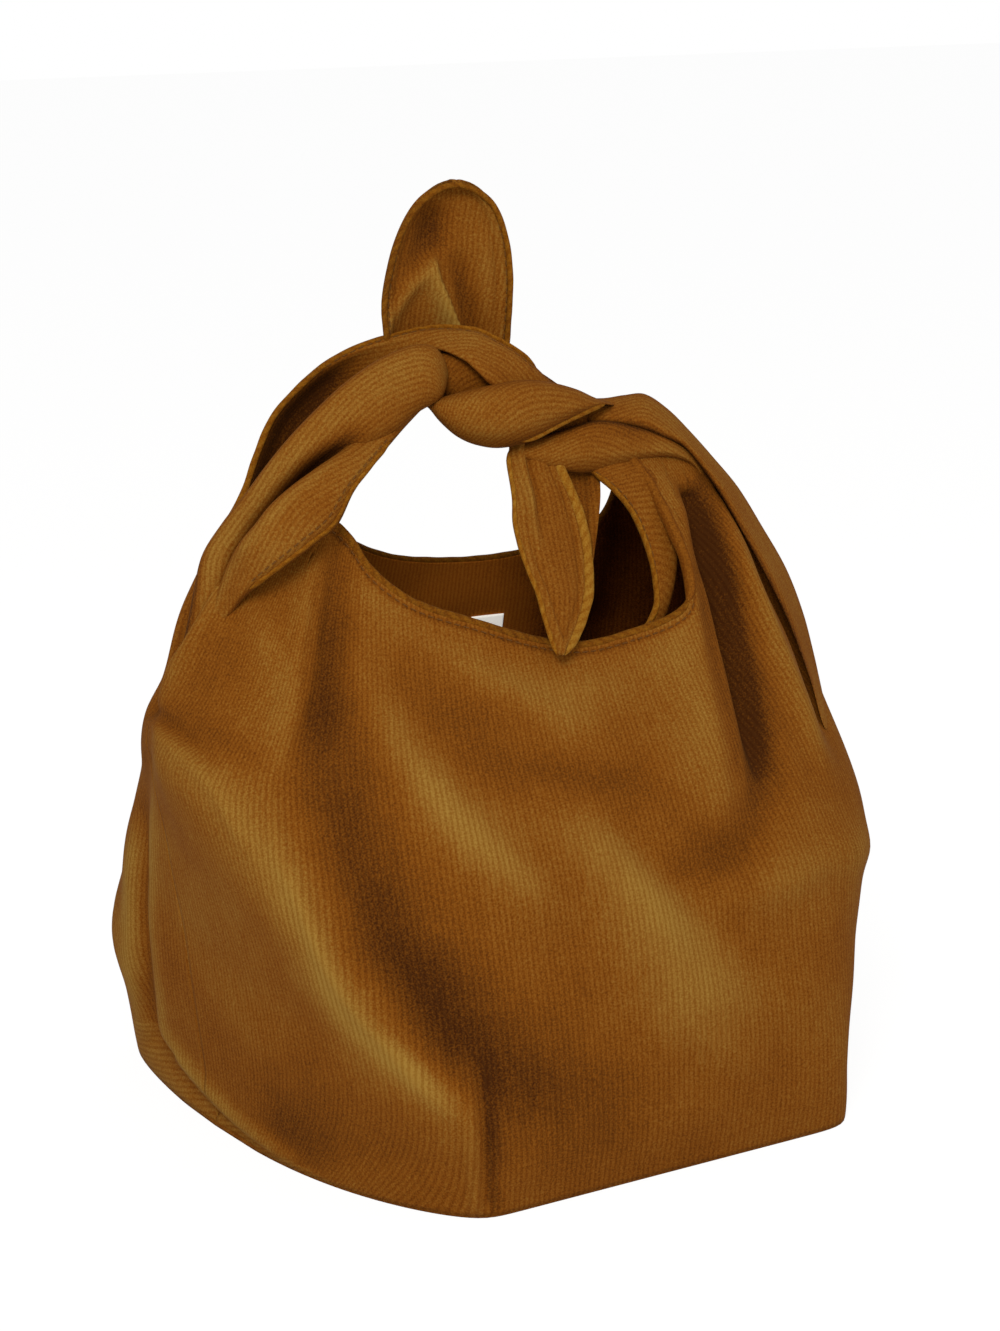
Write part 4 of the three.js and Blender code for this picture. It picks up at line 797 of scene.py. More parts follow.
front_cloth = panel("front_cloth", -1, FRONT_RIM, FRONT_RIM_HEIGHT, 250, 150, 0, SHELL_THICKNESS, OUTSIDE,
                    PANEL_FOOT)
back_cloth = panel("back_cloth", 1, BACK_RIM, BACK_RIM_HEIGHT, 200, 120, 0, SHELL_THICKNESS, OUTSIDE,
                   PANEL_FOOT)
front_inside = panel("front_inside", -1, FRONT_RIM, FRONT_RIM_HEIGHT, 140, 80, LINING_INSET,
                     LINING_THICKNESS, INSIDE, LINING_FOOT)
back_inside = panel("back_inside", 1, BACK_RIM, BACK_RIM_HEIGHT, 140, 80, LINING_INSET,
                    LINING_THICKNESS, INSIDE, LINING_FOOT)


# %% The base
HOLE_REACH = 20 * MM


def base_sheet(name, height, inset, material, thickness):
    """The floor of the bag: rings that shrink from the foot's outline to its middle, and a cap there."""
    place = np.linspace(-1, 3, 241)[:-1]
    foot = np.full_like(place, PANEL_FOOT)
    outline = wall(place, foot)[0] - wall_normal(place, foot) * inset
    middle = outline.mean(0)
    points = middle + (outline - middle) * np.linspace(1, 0.02, 24)[:, None, None]
    points[..., 2] = height
    wales = np.concatenate([points, points[:, :1]], 1)[..., :2]
    piece = grid_piece(name, points, material, wales, 0.45, around=True)
    mesh = bmesh.new()
    mesh.from_mesh(piece.data)
    hole = [edge for edge in mesh.edges
            if edge.is_boundary and (edge.verts[0].co.xy - Vector(middle[:2])).length < HOLE_REACH]
    bmesh.ops.holes_fill(mesh, edges=hole)
    bmesh.ops.recalc_face_normals(mesh, faces=mesh.faces)
    mesh.to_mesh(piece.data)
    mesh.free()
    return thicken(piece, thickness, 0.0)


base_cloth = base_sheet("base_cloth", 1.0 * MM, 0.2 * MM, OUTSIDE, 2.0 * MM)
base_inside = base_sheet("base_inside", 3.2 * MM, 3.5 * MM, INSIDE, 1.0 * MM)
print("base", np.round(base_cloth.dimensions, 3).tolist(), "m")

# %% [markdown]
# ## Hems and topstitch
#
# The rims are turned and sewn: a soft roll along the edge, and rows of stitches a few millimetres in.
# A roll is a flattened circle carried along the edge, with the wales crossing it at a slant, and each
# stitch is a short capsule, repeated along its line.

# %% Rolls and stitches along a line
def resample(path, step):
    """Points evenly spaced along a path, about one step apart, by walked distance."""
    walked = lengths(path)
    wanted = np.linspace(0, walked[-1], max(int(walked[-1] / step), 2) + 1)
    return np.stack([np.interp(wanted, walked, path[:, i]) for i in range(3)], -1), wanted


HEM_STEP, HEM_SIDES = 1.6 * MM, 14
# How much a rolled hem swells and shrinks along its way, and the lengths of the two waves of that.
HEM_LUMP, LUMP_LENGTHS = 0.08, (3.1 * MM, 7.7 * MM)
STITCH_RADIUS, STITCH_LENGTH, STITCH_GAP = 0.28 * MM, 2.7 * MM, 1.3 * MM
# A direction that no seam follows, from which a stitch gets its two sideways ones.
ASKEW = np.array([0.31, -0.9, 0.42])


def hem_roll(name, path, outward, width, height, material=HEM, slant=0.4, nap_and_shade=0.55):
    """A flattened tube along a path: width across it, height along outward. The wales slant over it."""
    points, walked = resample(path, HEM_STEP)
    old = lengths(path)
    outward = unit(np.stack([np.interp(walked, old, outward[:, i]) for i in range(3)], -1))
    ahead = unit(np.gradient(points, axis=0))
    across = unit(np.cross(ahead, outward))
    out = unit(np.cross(across, ahead))
    angle = np.linspace(0, 2 * np.pi, HEM_SIDES + 1)
    lump = 1 + HEM_LUMP * np.sin(walked / LUMP_LENGTHS[0]) * np.sin(walked / LUMP_LENGTHS[1] + 1)
    close = np.sqrt(np.clip(np.minimum(walked, walked[-1] - walked) / (4 * width), 0.01, 1))
    ring = across[:, None] * np.cos(angle)[:, None] * width + out[:, None] * np.sin(angle)[:, None] * height
    grid = points[:, None] + ring * (lump * close)[:, None, None]
    around = angle * (width + height) / 2
    wales = np.stack([walked[:, None] * slant + around * 0.5, around + 0 * walked[:, None]], -1)
    return grid_piece(name, grid[:, :-1], material, wales, nap_and_shade, around=True, flip=True, closed_ends=True)


def stitches(name, *paths):
    """Sewing thread: one capsule per stitch along each path. A capsule is rings whose radius is that of a
    circle at its ends, all stitches in one set of arrays."""
    lines = [resample(path, STITCH_LENGTH + STITCH_GAP)[0] for path in paths]
    start = np.concatenate([line[:-1] for line in lines])
    end = np.concatenate([line[1:] for line in lines])
    ahead, middle = unit(end - start), (start + end) / 2
    side = unit(np.cross(ahead, ASKEW))
    top = np.cross(side, ahead)
    share = np.array([-1.0, -0.86, -0.4, 0.4, 0.86, 1.0])
    size = np.array([0.25, 0.75, 1.0, 1.0, 0.75, 0.25]) * STITCH_RADIUS
    angle = np.linspace(0, 2 * np.pi, 6, endpoint=False)
    ring = np.cos(angle)[:, None] * side[:, None, None] + np.sin(angle)[:, None] * top[:, None, None]
    grid = (middle[:, None, None] + ahead[:, None, None] * (share * STITCH_LENGTH / 2)[:, None, None]
            + ring * size[:, None, None])
    count, rings, sides = grid.shape[:3]
    stitch, ring_number, corner = np.meshgrid(np.arange(count), np.arange(rings - 1), np.arange(sides),
                                              indexing="ij")
    ring_start = (stitch * rings + ring_number) * sides
    after = (corner + 1) % sides
    quads = np.stack([ring_start + corner, ring_start + after, ring_start + sides + after,
                      ring_start + sides + corner], -1).reshape(-1, 4)
    first = np.arange(count)[:, None] * rings * sides
    caps = np.concatenate([first + np.arange(sides)[::-1], first + (rings - 1) * sides + np.arange(sides)])
    mesh = bpy.data.meshes.new(name)
    mesh.from_pydata(grid.reshape(-1, 3).tolist(), [], quads.tolist() + caps.tolist())
    mesh.polygons.foreach_set("use_smooth", np.ones(len(mesh.polygons), bool))
    mesh.materials.append(THREAD)
    piece = bpy.data.objects.new(name, mesh)
    bpy.context.scene.collection.objects.link(piece)
    print(name, count, "stitches")
    return piece


def rim_line(face, rim, lowest, drop, lift, left, right):
    """Points and outward normals along a rim, drop below it and lift off the cloth."""
    side = np.linspace(left, right, 420)
    place = side if face < 0 else 2 - side
    height = np.minimum(rim_height(rim, lowest, side), RIM_TOP + 8 * MM) - drop
    points, normal, _, _ = cloth_wall(place, height, -lift)
    return points, normal


# %% The rims
STITCH_DROP, STITCH_SINK = 5 * MM, 0.1 * MM
EDGE_WIDTH, EDGE_HEIGHT, EDGE_PLACE, EDGE_RISE = 2.6 * MM, 3.0 * MM, 0.519, 8 * MM
rim_hems, rim_pieces = {}, []
for wall_name, face, rim, lowest, right in (("front", -1, FRONT_RIM, FRONT_RIM_HEIGHT, 0.405),
                                            ("back", 1, BACK_RIM, BACK_RIM_HEIGHT, 0.672)):
    left = rim[0][0] + 0.002
    path, out = rim_line(face, rim, lowest, HEM_RADIUS, -LINING_INSET / 2, left, right)
    out = unit(out + np.array([0.0, 0.0, 0.2]))
    rim_hems[wall_name] = hem_roll(f"{wall_name}_rim_hem", path, out, HEM_RADIUS * 0.95, HEM_RADIUS * 0.95,
                                   nap_and_shade=0.22)
    row = rim_line(face, rim, lowest, STITCH_DROP, -STITCH_SINK, left, right)[0]
    rim_pieces += [rim_hems[wall_name], stitches(f"{wall_name}_rim_stitches", row)]

# At the right the front rim runs on up the ear as the rounded edge of a fold.
path, out = rim_line(-1, FRONT_RIM, FRONT_RIM_HEIGHT, HEM_RADIUS, -LINING_INSET / 2, 0.385, EDGE_PLACE)
rise = np.linspace(path[-1, 2] + MM, EAR_TOP + EDGE_RISE, 16)
above, above_out, _, _ = cloth_wall(np.full_like(rise, EDGE_PLACE), rise, LINING_INSET / 2)
path, out = np.concatenate([path, above]), np.concatenate([out, above_out])
rim_pieces.append(hem_roll("front_fold_edge", path, out, EDGE_WIDTH, EDGE_HEIGHT, OUTSIDE, slant=0.0,
                           nap_and_shade=0.42))

# %% [markdown]
# ## The blank label
#
# A short tape is sewn to the lining of the back wall, just under the rim. It is a small curved sheet
# that lies on the lining and is left bare.

# %% The label
LABEL_LEFT, LABEL_RIGHT, LABEL_LOW, LABEL_HIGH = 0.140, 0.232, 188 * MM, 204 * MM
side, height = np.meshgrid(np.linspace(LABEL_LEFT, LABEL_RIGHT, 24), np.linspace(LABEL_LOW, LABEL_HIGH, 14))
points = cloth_wall(2 - side, height, LINING_INSET + LINING_THICKNESS + 0.5 * MM)[0]
label = grid_piece("blank_label", points, LABEL_TAPE, np.stack([side, height], -1))
thicken(label, 0.5 * MM, 0.0)
print("label", np.round(label.dimensions, 4).tolist(), "m")

# %% [markdown]
# ## Rolled straps
#
# Above the mouth the ears are gathered and twisted, so what shows is a set of soft rolls that lap over
# each other. Each roll is a closed tube between two edge lines. The lines are guide points in the
# picture with a depth, and the tube's half thickness makes the roll stand towards the viewer. This is
# how the laps, the dark slots between them and the outline of the knot all come out where they are seen.

# %% Rings, round ends and swellings
def powered(wave, power):
    """A wave to a power, its sign kept. A power below one makes a ring squarer."""
    return np.sign(wave) * np.abs(wave) ** power


def rounded(distance, radius):
    """Size of a roll near its end: the root of one minus the square of the share still to go."""
    to_go = 1 - np.clip(distance / max(radius * MM, 1e-9), 0, 1)
    return np.sqrt(np.clip(1 - to_go**2, 0.02, 1))


def bells_round(table, angle, t):
    """Swelling of a tube from rows of (angle, width, height, first share, last share). It is the sum of
    height times e to the minus square of the turn over the width, faded in and out along the tube."""
    total = np.zeros((len(t), len(angle)))
    for where, width, height, first, last in table:
        turned = np.angle(np.exp(1j * (angle - where)))
        part = ease(first - 0.06, first + 0.1, t) * (1 - ease(last - 0.1, last + 0.06, t))
        total += height * np.exp(-(turned / width) ** 2) * part[:, None]
    return total


def faces_away(grid, direction):
    """Whether the faces in the middle row of a grid look away from a direction."""
    row = len(grid) // 2
    facing = np.cross(grid[row, 1] - grid[row, 0], grid[row + 1, 0] - grid[row, 0])
    return bool(facing @ direction < 0)


def slanted(around, along, slant):
    """UV of wales that run along a piece, turned by an angle."""
    return np.stack([around * np.cos(slant) + along * np.sin(slant),
                     along * np.cos(slant) - around * np.sin(slant)], -1)


# %% A roll between two edges
# Painted shade and light on a roll: how much darker it is all round, and the painted highlight that facing
# the viewer and each mm of swelling add.
ROLL_PAINTED_SHADE, FACING_PAINTED_LIGHT, SWELL_PAINTED_LIGHT = -0.10, 0.16, 0.06


def roll(name, rows, steps=150, sides=44, power=0.85, slant=0.0, folds=(), shade=(), round_start=0.0,
         round_end=6.0, nap_and_shade=0.5):
    """Each row: x, y of the first edge in the picture and its depth in mm; the same for the second edge;
    the half thickness in mm. A ring is the middle of the edges, plus half their distance times the cosine
    to a power, plus the thickness times the sine to a power. folds adds swellings in mm, and shade adds
    such swellings to the nap as painted light and shade. The nap is also painted darker all round, lighter
    where the ring faces the viewer, and lighter on each swelling."""
    rows = np.asarray(rows, float)
    first, second = at_depth(*rows[:, :3].T), at_depth(*rows[:, 3:6].T)
    walked = lengths((first + second) / 2)
    t = np.linspace(0, 1, steps)
    fine = smooth_rows(np.column_stack([walked / walked[-1], first, second, rows[:, 6] * MM]), t)
    middle, across = (fine[:, :3] + fine[:, 3:6]) / 2, (fine[:, :3] - fine[:, 3:6]) / 2
    out = unit(CAMERA_PLACE - middle)
    run = lengths(middle)
    close = (rounded(run, round_start) * rounded(run[-1] - run, round_end))[:, None]
    angle = np.linspace(-np.pi / 2, 1.5 * np.pi, sides + 1)
    cosine, sine = powered(np.cos(angle), power), powered(np.sin(angle), power)
    swell = bells_round(folds, angle, t)
    grid = (middle[:, None] + across[:, None] * (cosine * close)[..., None]
            + out[:, None] * (sine * fine[:, 6:7] * close + swell * MM * close)[..., None])
    wales = slanted(lengths(grid, axis=1), run[:, None], slant)
    shaded_nap = nap_and_shade + ROLL_PAINTED_SHADE + FACING_PAINTED_LIGHT * sine + swell * SWELL_PAINTED_LIGHT + bells_round(shade, angle, t)
    piece = grid_piece(name, grid[:, :-1], OUTSIDE, wales, np.clip(shaded_nap, 0, 1)[:, :-1], around=True,
                       flip=faces_away(grid, grid[steps // 2, 0] - middle[steps // 2]), closed_ends=True)
    print(name, "length", round(run[-1] / MM), "mm")
    return piece, grid, out


STITCH_LIFT = 0.2 * MM


def edge_of(grid, out, share):
    """A line along a roll at a share of its way round, with the direction out of the roll there."""
    column = int(round(share * (grid.shape[1] - 1)))
    path = grid[:, column]
    return path, unit(path - grid[:, :-1].mean(1) + out * 1e-4)


def sewn_edge(name, grid, out, hem, row, width, height, nap_and_shade):
    """The turned edge of a roll and its stitches. hem and row each give a share of the way round, and the
    first and last ring between which they run."""
    path, outward = edge_of(grid, out, hem[0])
    part = slice(*hem[1:])
    edge = hem_roll(f"{name}_hem", path[part], outward[part], width, height, nap_and_shade=nap_and_shade)
    path, outward = edge_of(grid, out, row[0])
    part = slice(*row[1:])
    return [edge, stitches(f"{name}_stitches", path[part] + outward[part] * STITCH_LIFT)]


# %% The left ear: two rolls and the band behind them
LEFT_FRONT_ROLL = [
    (158, 708, 0, 164, 712, 1, 1.5), (173, 672, -8, 184, 678, -7, 2), (192, 640, -12, 208, 645, -12, 3),
    (212, 604, -15, 230, 617, -20, 4.5), (227, 566, -19, 245, 597, -28, 6),
    (240, 542, -28, 268, 579, -34, 7), (255, 524, -32, 290, 563, -38, 8),
    (269, 506, -32, 313, 546, -38, 8.5), (290, 487, -31, 337, 526, -36, 9),
    (316, 468, -28, 354, 492, -32, 9), (343, 449, -23, 372, 467, -28, 8.5),
    (370, 424, -15, 389, 446, -24, 8), (396, 402, -13, 408, 424, -20, 7),
    (418, 384, -12, 428, 404, -18, 6), (436, 374, -11, 444, 394, -16, 5),
]
left_front_roll, grid, out = roll("left_front_roll", LEFT_FRONT_ROLL, round_start=14,
                                  folds=[(2.2, 0.35, 1.2, 0.2, 0.8), (1.2, 0.25, -0.9, 0.35, 0.95)],
                                  shade=[(0.8, 0.4, 0.16, -0.2, 0.7), (2.9, 0.4, -0.16, 0.2, 0.9)])
left_pieces = [left_front_roll, *sewn_edge("left_front", grid, out, (0.66, 54, -26), (0.60, 56, -26),
                                           1.6 * MM, 1.0 * MM, 0.42)]

LEFT_BACK_ROLL = [
    (156, 712, 0, 176, 706, -6, 2), (170, 676, 0, 200, 670, -10, 5), (184, 638, -3, 224, 634, -12, 7),
    (193, 594, -5, 240, 600, -14, 8), (202, 555, -6, 256, 568, -14, 9),
    (222, 523, -7, 270, 542, -13, 9.5), (244, 495, -9, 286, 518, -13, 10),
    (267, 464, -11, 306, 496, -13, 10.5), (291, 435, -13, 328, 477, -15, 11),
    (317, 408, -14, 354, 459, -18, 11.5), (343, 384, -15, 377, 444, -22, 12),
    (369, 365, -14, 398, 430, -23, 12), (395, 351, -12, 416, 414, -21, 12),
    (422, 344, -11, 433, 404, -19, 12), (447, 350, -11, 449, 396, -16, 11),
]
left_back_roll, grid, out = roll("left_back_roll", LEFT_BACK_ROLL, round_start=14, round_end=7,
                                 folds=[(2.05, 0.3, -9.0, 0.16, 0.70), (1.0, 0.3, -0.8, 0.5, 1.0),
                                        (1.4, 0.3, 0.9, 0.3, 0.9)],
                                 shade=[(2.0, 0.36, -0.45, 0.12, 0.75), (0.9, 0.5, 0.16, 0.2, 0.95),
                                        (0.3, 0.5, -0.35, -0.2, 0.34)])

BACK_BAND = [
    (178, 664, 18, 196, 668, 30, 2.5), (196, 612, 21, 220, 622, 36, 3), (208, 572, 23, 238, 582, 38, 3.2),
    (224, 530, 26, 258, 548, 40, 3.4), (243, 494, 28, 276, 512, 42, 3.6),
    (256, 456, 28, 294, 474, 41, 3.8), (273, 417, 27, 314, 442, 38, 4), (298, 388, 26, 336, 414, 34, 4),
    (327, 363, 24, 358, 394, 28, 4), (357, 347, 21, 382, 376, 20, 4.2), (387, 337, 17, 405, 362, 11, 4.4),
    (430, 328, 9, 434, 350, -3, 5), (475, 330, 0, 463, 360, -15, 5.4), (498, 340, -5, 477, 372, -20, 5.8),
    (520, 353, -9, 490, 385, -22, 6), (541, 372, -13, 508, 398, -22, 6),
    (560, 392, -15, 530, 410, -20, 5),
]
back_band, grid, out = roll("back_band", BACK_BAND, steps=190, sides=40, power=0.7, round_start=10,
                            folds=[(0.9, 0.3, 0.8, 0.5, 1.0), (1.35, 0.42, -6.0, 0.0, 0.62)],
                            shade=[(1.4, 0.9, -0.42, 0.0, 0.6)])
left_pieces += [left_back_roll, back_band, *sewn_edge("back_band", grid, out, (0.27, 4, -12),
                                                      (0.36, 8, -12), 1.6 * MM, 1.1 * MM, 0.4)]

# %% The knot: the wrap and what it is wound round
KNOT_WRAP = [
    (424, 404, -14, 428, 408, -16, 2), (434, 399, -16, 438, 420, -18, 7),
    (446, 396, -18, 456, 436, -20, 11), (464, 391, -20, 476, 445, -22, 14),
    (490, 385, -22, 501, 448, -24, 16), (520, 380, -23, 531, 441, -26, 16),
    (549, 382, -23, 560, 426, -26, 14), (576, 389, -21, 585, 413, -25, 11),
    (596, 398, -17, 603, 405, -21, 7), (612, 402, -12, 616, 406, -16, 3),
]
knot_wrap, grid, out = roll("knot_wrap_cloth", KNOT_WRAP, steps=120, sides=52, power=0.95, slant=0.5,
                            round_start=6, round_end=6,
                            folds=[(2.1, 0.3, 0.8, 0.2, 0.9), (1.2, 0.3, -0.7, 0.3, 0.9)],
                            shade=[(2.9, 0.5, -0.25, 0.3, 1.2), (0.9, 0.5, 0.10, 0.1, 0.9)])
path, outward = edge_of(grid, out, 0.70)
knot_hem = hem_roll("knot_wrap_hem", path[50:-12], outward[50:-12], 1.7 * MM, 1.1 * MM)
KNOT_CORE = [
    (424, 372, -2, 430, 396, -4, 5), (440, 352, 0, 450, 404, -4, 12), (470, 346, 0, 480, 420, -6, 15),
    (505, 352, -2, 510, 436, -8, 16), (540, 372, -4, 545, 442, -8, 16), (575, 394, -4, 575, 440, -8, 15),
    (610, 402, -2, 605, 444, -6, 12),
]
# Painted shade: the core sits deep inside the knot and is given a low, dark nap.
knot_core = roll("knot_core_cloth", KNOT_CORE, steps=60, sides=36, round_start=6, round_end=6, nap_and_shade=0.3)[0]
knot_pieces = [knot_wrap, knot_hem, knot_core]

# %% The right strap and ear
RIGHT_UPPER_FOLD = [
    (578, 398, -6, 584, 424, -16, 4), (604, 398, -5, 604, 423, -17, 8),
    (624, 395, -3, 624, 425, -17, 9.5), (645, 394, -2, 644, 430, -16, 10.5),
    (668, 409, -2, 662, 437, -16, 11), (690, 431, -4, 682, 446, -16, 11),
    (714, 458, -6, 700, 466, -18, 10), (738, 487, -8, 720, 494, -23, 9),
    (762, 526, -11, 742, 532, -29, 8), (786, 568, -16, 764, 572, -35, 6.5),
    (803, 612, -23, 786, 616, -41, 5), (814, 654, -35, 802, 656, -51, 3),
    (822, 690, -49, 814, 692, -60, 2), (831, 728, -66, 822, 731, -72, 1.0),
]
right_upper_fold = roll("right_upper_fold", RIGHT_UPPER_FOLD, round_start=5, round_end=24,
                        folds=[(1.9, 0.3, 0.9, 0.1, 0.8), (1.2, 0.25, -0.8, 0.2, 0.9)],
                        shade=[(2.7, 0.5, -0.40, 0.1, 0.9), (0.9, 0.5, 0.10, 0.0, 0.8)])[0]
RIGHT_MIDDLE_FOLD = [
    (516, 440, -17, 506, 451, -20, 3), (542, 436, -19, 524, 460, -23, 7),
    (568, 428, -20, 548, 469, -24, 9), (592, 421, -20, 572, 473, -24, 10),
    (613, 421, -19, 596, 472, -23, 10), (634, 426, -18, 618, 466, -22, 9.5),
    (654, 432, -16, 642, 460, -20, 9), (674, 440, -14, 668, 457, -18, 8),
    (693, 452, -12, 690, 464, -16, 7), (710, 472, -11, 704, 482, -15, 5),
    (724, 496, -11, 718, 503, -15, 3),
]
right_middle_fold = roll("right_middle_fold", RIGHT_MIDDLE_FOLD, round_start=5, round_end=10,
                         folds=[(1.9, 0.3, 0.9, 0.2, 0.9), (1.1, 0.25, -0.8, 0.1, 0.7)],
                         shade=[(0.3, 0.4, -0.30, -0.2, 1.2), (3.0, 0.35, -0.25, -0.2, 1.2)])[0]
RIGHT_CORE = [
    (572, 404, 6, 572, 448, -4, 12), (604, 404, 8, 600, 458, -4, 15), (640, 402, 10, 636, 456, -4, 18),
    (674, 426, 12, 664, 464, -4, 20), (704, 460, 13, 688, 486, 0, 22), (726, 492, 14, 704, 514, 2, 22),
    (742, 522, 14, 718, 540, 4, 20),
]
right_core = roll("right_core_cloth", RIGHT_CORE, steps=80, sides=52, round_start=6, round_end=20,
                  folds=[(-1.2, 0.3, 3.0, 0.2, 1.0), (-2.1, 0.3, 3.0, 0.2, 1.0),
                         (-0.5, 0.25, 2.4, 0.3, 1.0)])[0]
RIGHT_RIM_BAND = [
    (588, 462, -22, 580, 470, -22, 2), (606, 458, -23, 592, 472, -25, 3),
    (626, 460, -24, 603, 480, -28, 3), (646, 467, -26, 618, 494, -31, 3),
    (661, 482, -29, 633, 514, -34, 3), (671, 505, -33, 644, 538, -38, 3),
    (677, 535, -38, 652, 564, -43, 3), (677, 568, -44, 656, 588, -48, 2.8),
    (672, 597, -49, 656, 607, -52, 2.6), (664, 619, -53, 648, 623, -55, 2.4),
    (650, 632, -57, 636, 630, -58, 2),
]
right_rim_band, grid, out = roll("right_rim_band", RIGHT_RIM_BAND, steps=110, sides=32, power=0.7,
                                 slant=0.95, nap_and_shade=0.42, round_start=4, round_end=4)
right_pieces = [right_upper_fold, right_middle_fold, right_core, right_rim_band,
                *sewn_edge("right_rim_band", grid, out, (0.72, 6, -6), (0.62, 8, -8), 1.6 * MM, 1.1 * MM,
                           0.46)]

# %% [markdown]
# ## The tails
#
# Each strap ends in a leaf with a turned and stitched edge. A leaf is a sheet between a left and a right
# edge line; its middle is cupped by a share of one minus the square of the place across it.

# %% Leaves
# The turned edge of a leaf, in mm: how high it stands, where it ends, and its seam's depth and width.
TURNED_RISE, TURNED_END, SEAM_SINK, SEAM_SPREAD = 0.9, (3.4, 5.4), 0.5, 0.9
# Painted light: what each mm of rise adds to a leaf's nap, lighter on ridges and darker in creases.
LEAF_PAINTED_LIGHT = 0.075


def leaf(name, rows, cup, thickness=2.4, steps=110, columns=56, folds=(), creases=(), nap_and_shade=0.5):
    """Each row: x, y and depth of the left edge, then of the right edge. The sheet between them is moved
    towards the viewer by cup mm times one minus the square of the place across, and by each fold, a bell
    of (place across, width, height in mm, first share, last share), and by each crease, which is drawn
    through picture points as the body's finer folds are. Its wall is added by Solidify."""
    rows = np.asarray(rows, float)
    left, right = at_depth(*rows[:, :3].T), at_depth(*rows[:, 3:6].T)
    walked = lengths((left + right) / 2)
    t = np.linspace(0, 1, steps)
    fine = smooth_rows(np.column_stack([walked / walked[-1], left, right]), t)
    v = np.sin(np.linspace(-np.pi / 2, np.pi / 2, columns))
    grid = fine[:, None, :3] * ((1 - v) / 2)[:, None] + fine[:, None, 3:] * ((1 + v) / 2)[:, None]
    normal = grid_normals(grid)
    normal = normal * np.sign((normal @ BACKWARD).sum())
    rise = drawn(grid, creases) + np.zeros(grid.shape[:2])
    for where, width, height, first, last in folds:
        part = ease(first - 0.08, first + 0.08, t) * (1 - ease(last - 0.08, last + 0.08, t))
        rise += height * np.exp(-((v - where) / width) ** 2) * part[:, None]
    from_edge = np.linalg.norm(fine[:, 3:] - fine[:, :3], axis=1)[:, None] / 2 * (1 - np.abs(v)) / MM
    rise += (TURNED_RISE * (1 - ease(*TURNED_END, from_edge))
             - SEAM_SINK * np.exp(-((from_edge - TURNED_END[1]) / SEAM_SPREAD) ** 2))
    grid = grid + normal * ((cup * (1 - v**2) + rise) * MM)[..., None]
    across = lengths(grid, axis=1)
    across = across - across[:, columns // 2][:, None]
    run = lengths(grid[:, columns // 2])[:, None] + 0 * across
    shaded_nap = np.clip(nap_and_shade + rise * LEAF_PAINTED_LIGHT, 0, 1)
    piece = grid_piece(name, grid, OUTSIDE, np.stack([across, run], -1), shaded_nap,
                       flip=faces_away(grid, BACKWARD))
    print(name, "length", round(float(run.max() / MM)), "mm")
    return thicken(piece, thickness * MM), grid, normal


def leaf_edge(grid, normal, lift, drop=2):
    """The outline of a leaf, up its left edge and down its right one, with outward directions."""
    left, right = grid[drop:, 0], grid[drop:, -1]
    tip = (grid[-1, 0] + grid[-1, -1])[None] / 2
    path = np.concatenate([left, tip, right[::-1]])
    out = np.concatenate([normal[drop:, 0], normal[-1:, 0], normal[drop:, -1][::-1]])
    return path + out * lift, out


# %% The upper tail
UPPER_TAIL = [
    (426, 402, 8, 470, 402, 8), (398, 374, 15, 496, 374, 15), (385, 345, 17, 505, 345, 17),
    (383, 318, 18, 507.5, 318, 18), (385, 292, 19, 509, 292, 19), (390, 266, 20, 508.5, 266, 20),
    (397, 242, 20.5, 505.5, 242, 20.5), (406, 222, 21, 500, 222, 21), (418, 205, 21, 492, 205, 21),
    (430, 194, 21, 482, 195, 21), (442, 187, 21, 470, 188, 21), (452, 184.6, 21, 460, 184.8, 21),
]
TAIL_CREASES = [
    ([(437, 252, 1.0), (438, 266, 4.0), (442, 284, 5.5), (450, 304, 6.0), (460, 330, 6.0),
      (466, 350, 6.0)], 3, 13),
    ([(440, 256, 1.0), (425, 274, 3.0), (405, 298, 3.0), (388, 326, 2.5), (380, 350, 2.0)], 9, 7),
    ([(458, 250, 0.0), (463, 268, -2.5), (468, 292, -3.5), (474, 320, -4.0), (478, 345, -4.0)], 9, 8),
    ([(444, 200, 0.0), (438, 218, -4.5), (434, 238, -5.0), (426, 258, -3.0)], 17, 17),
    ([(461, 214, 0.0), (461, 226, 0.9), (461, 240, 0.9), (462, 250, 0.0)], 1.6, 1.6),
    ([(484, 225, 0.0), (488, 262, 1.6), (490, 300, 1.2), (490, 330, 0.0)], 8, 8),
]
upper_tail, grid, normal = leaf("upper_tail_leaf", UPPER_TAIL, -4.0, creases=TAIL_CREASES)
path, out = leaf_edge(grid, normal, 0.2 * MM)
upper_hem = hem_roll("upper_tail_hem", path, out, 1.4 * MM, 1.3 * MM, nap_and_shade=0.28)
rows_inside = [grid[2:-7, column] + normal[2:-7, column] * 0.6 * MM for column in (6, -7)]
upper_tail_pieces = [upper_tail, upper_hem, stitches("upper_tail_stitches", *rows_inside)]

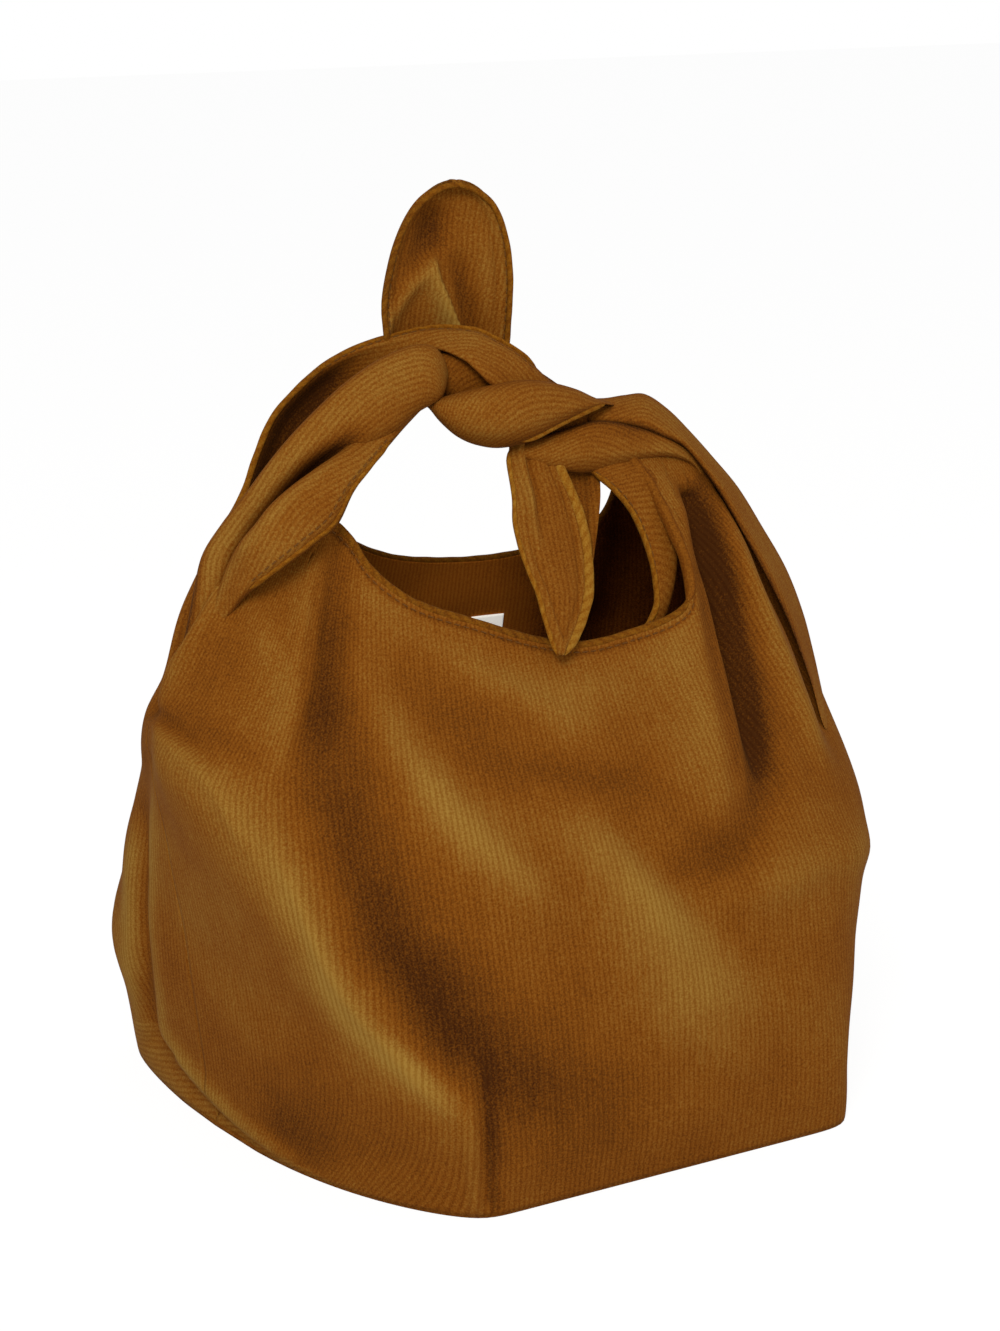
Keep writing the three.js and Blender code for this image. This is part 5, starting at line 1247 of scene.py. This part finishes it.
# %% The lower tail
LOWER_TAIL_BACK = [
    (548, 452, -22, 598, 454, -20), (552, 474, -23, 599, 474, -23), (558, 498, -27, 599.5, 500, -28),
    (564, 524, -33, 597, 526, -35), (570, 550, -41, 593, 552, -43), (574, 576, -50, 589, 578, -50),
    (574, 600, -57, 584, 602, -57), (570, 622, -63, 577, 624, -63), (566, 640, -67, 570, 641, -67),
]
turned_edge = leaf("lower_tail_turned_edge", LOWER_TAIL_BACK, -2.0, thickness=1.4, steps=60, columns=20,
                   nap_and_shade=0.35)[0]
LOWER_TAIL = [
    (509, 436, -18, 552, 440, -20), (508, 462, -25, 558, 466, -27), (513, 496, -31, 572, 498, -32),
    (514, 522, -36, 580, 522, -37), (519, 546, -42, 585, 546, -43), (527, 570, -49, 587, 570, -49),
    (537, 594, -56, 587, 594, -56), (543, 616, -62, 582, 616, -62), (549, 636, -68, 574, 636, -68),
    (554, 650, -72, 566, 650, -72), (557, 656, -73, 561, 656, -73),
]
lower_tail, grid, normal = leaf("lower_tail_leaf", LOWER_TAIL, 3.0, thickness=1.8,
                                folds=[(-0.55, 0.16, 2.0, -0.2, 0.5), (-0.25, 0.12, -1.6, -0.2, 0.4)])
lower_tail_pieces = [
    turned_edge, lower_tail,
    hem_roll("lower_tail_hem", grid[2:, -1] + normal[2:, -1] * 0.4 * MM, normal[2:, -1], 2.5 * MM, 1.7 * MM,
             nap_and_shade=0.66),
    hem_roll("lower_tail_left_hem", grid[8:, 0], normal[8:, 0], 1.1 * MM, 1.1 * MM),
    stitches("lower_tail_stitches", grid[4:-8, -9] + normal[4:-8, -9] * 0.5 * MM)]

# %% [markdown]
# ## Riding on the bodies
# The knot rides on the handle, and the base and the label ride on the bag. The cloth that crosses
# from the bag to the handle and both tails have their places baked into their meshes.

# %% Bodies and the nodes that are replaced
crossing = [front_cloth, back_cloth, front_inside, back_inside, *rim_pieces, *left_pieces, *right_pieces]
for piece in crossing:
    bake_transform(piece)
for piece in knot_pieces:
    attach(piece, "handle")
for piece in (base_cloth, base_inside, label):
    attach(piece, "bag")
for piece in upper_tail_pieces:
    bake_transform(piece)
for piece in lower_tail_pieces:
    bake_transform(piece)

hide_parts("front_panel", "front_left_ear", "front_right_ear", "left_ear_bend")
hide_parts("back_panel", "back_left_ear", "back_right_ear", "right_ear_bend")
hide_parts("front_lining")
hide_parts("back_lining")
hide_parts("base_panel")
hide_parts("base_lining")
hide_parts("front_rim_roll")
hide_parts("back_rim_roll")
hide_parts("inner_label")
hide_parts("left_strap")
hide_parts("over_band")
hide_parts("knot_wrap")
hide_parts("upper_tail_root", "lower_tail_root")
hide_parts("right_strap")
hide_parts("upper_tail")
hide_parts("lower_tail")
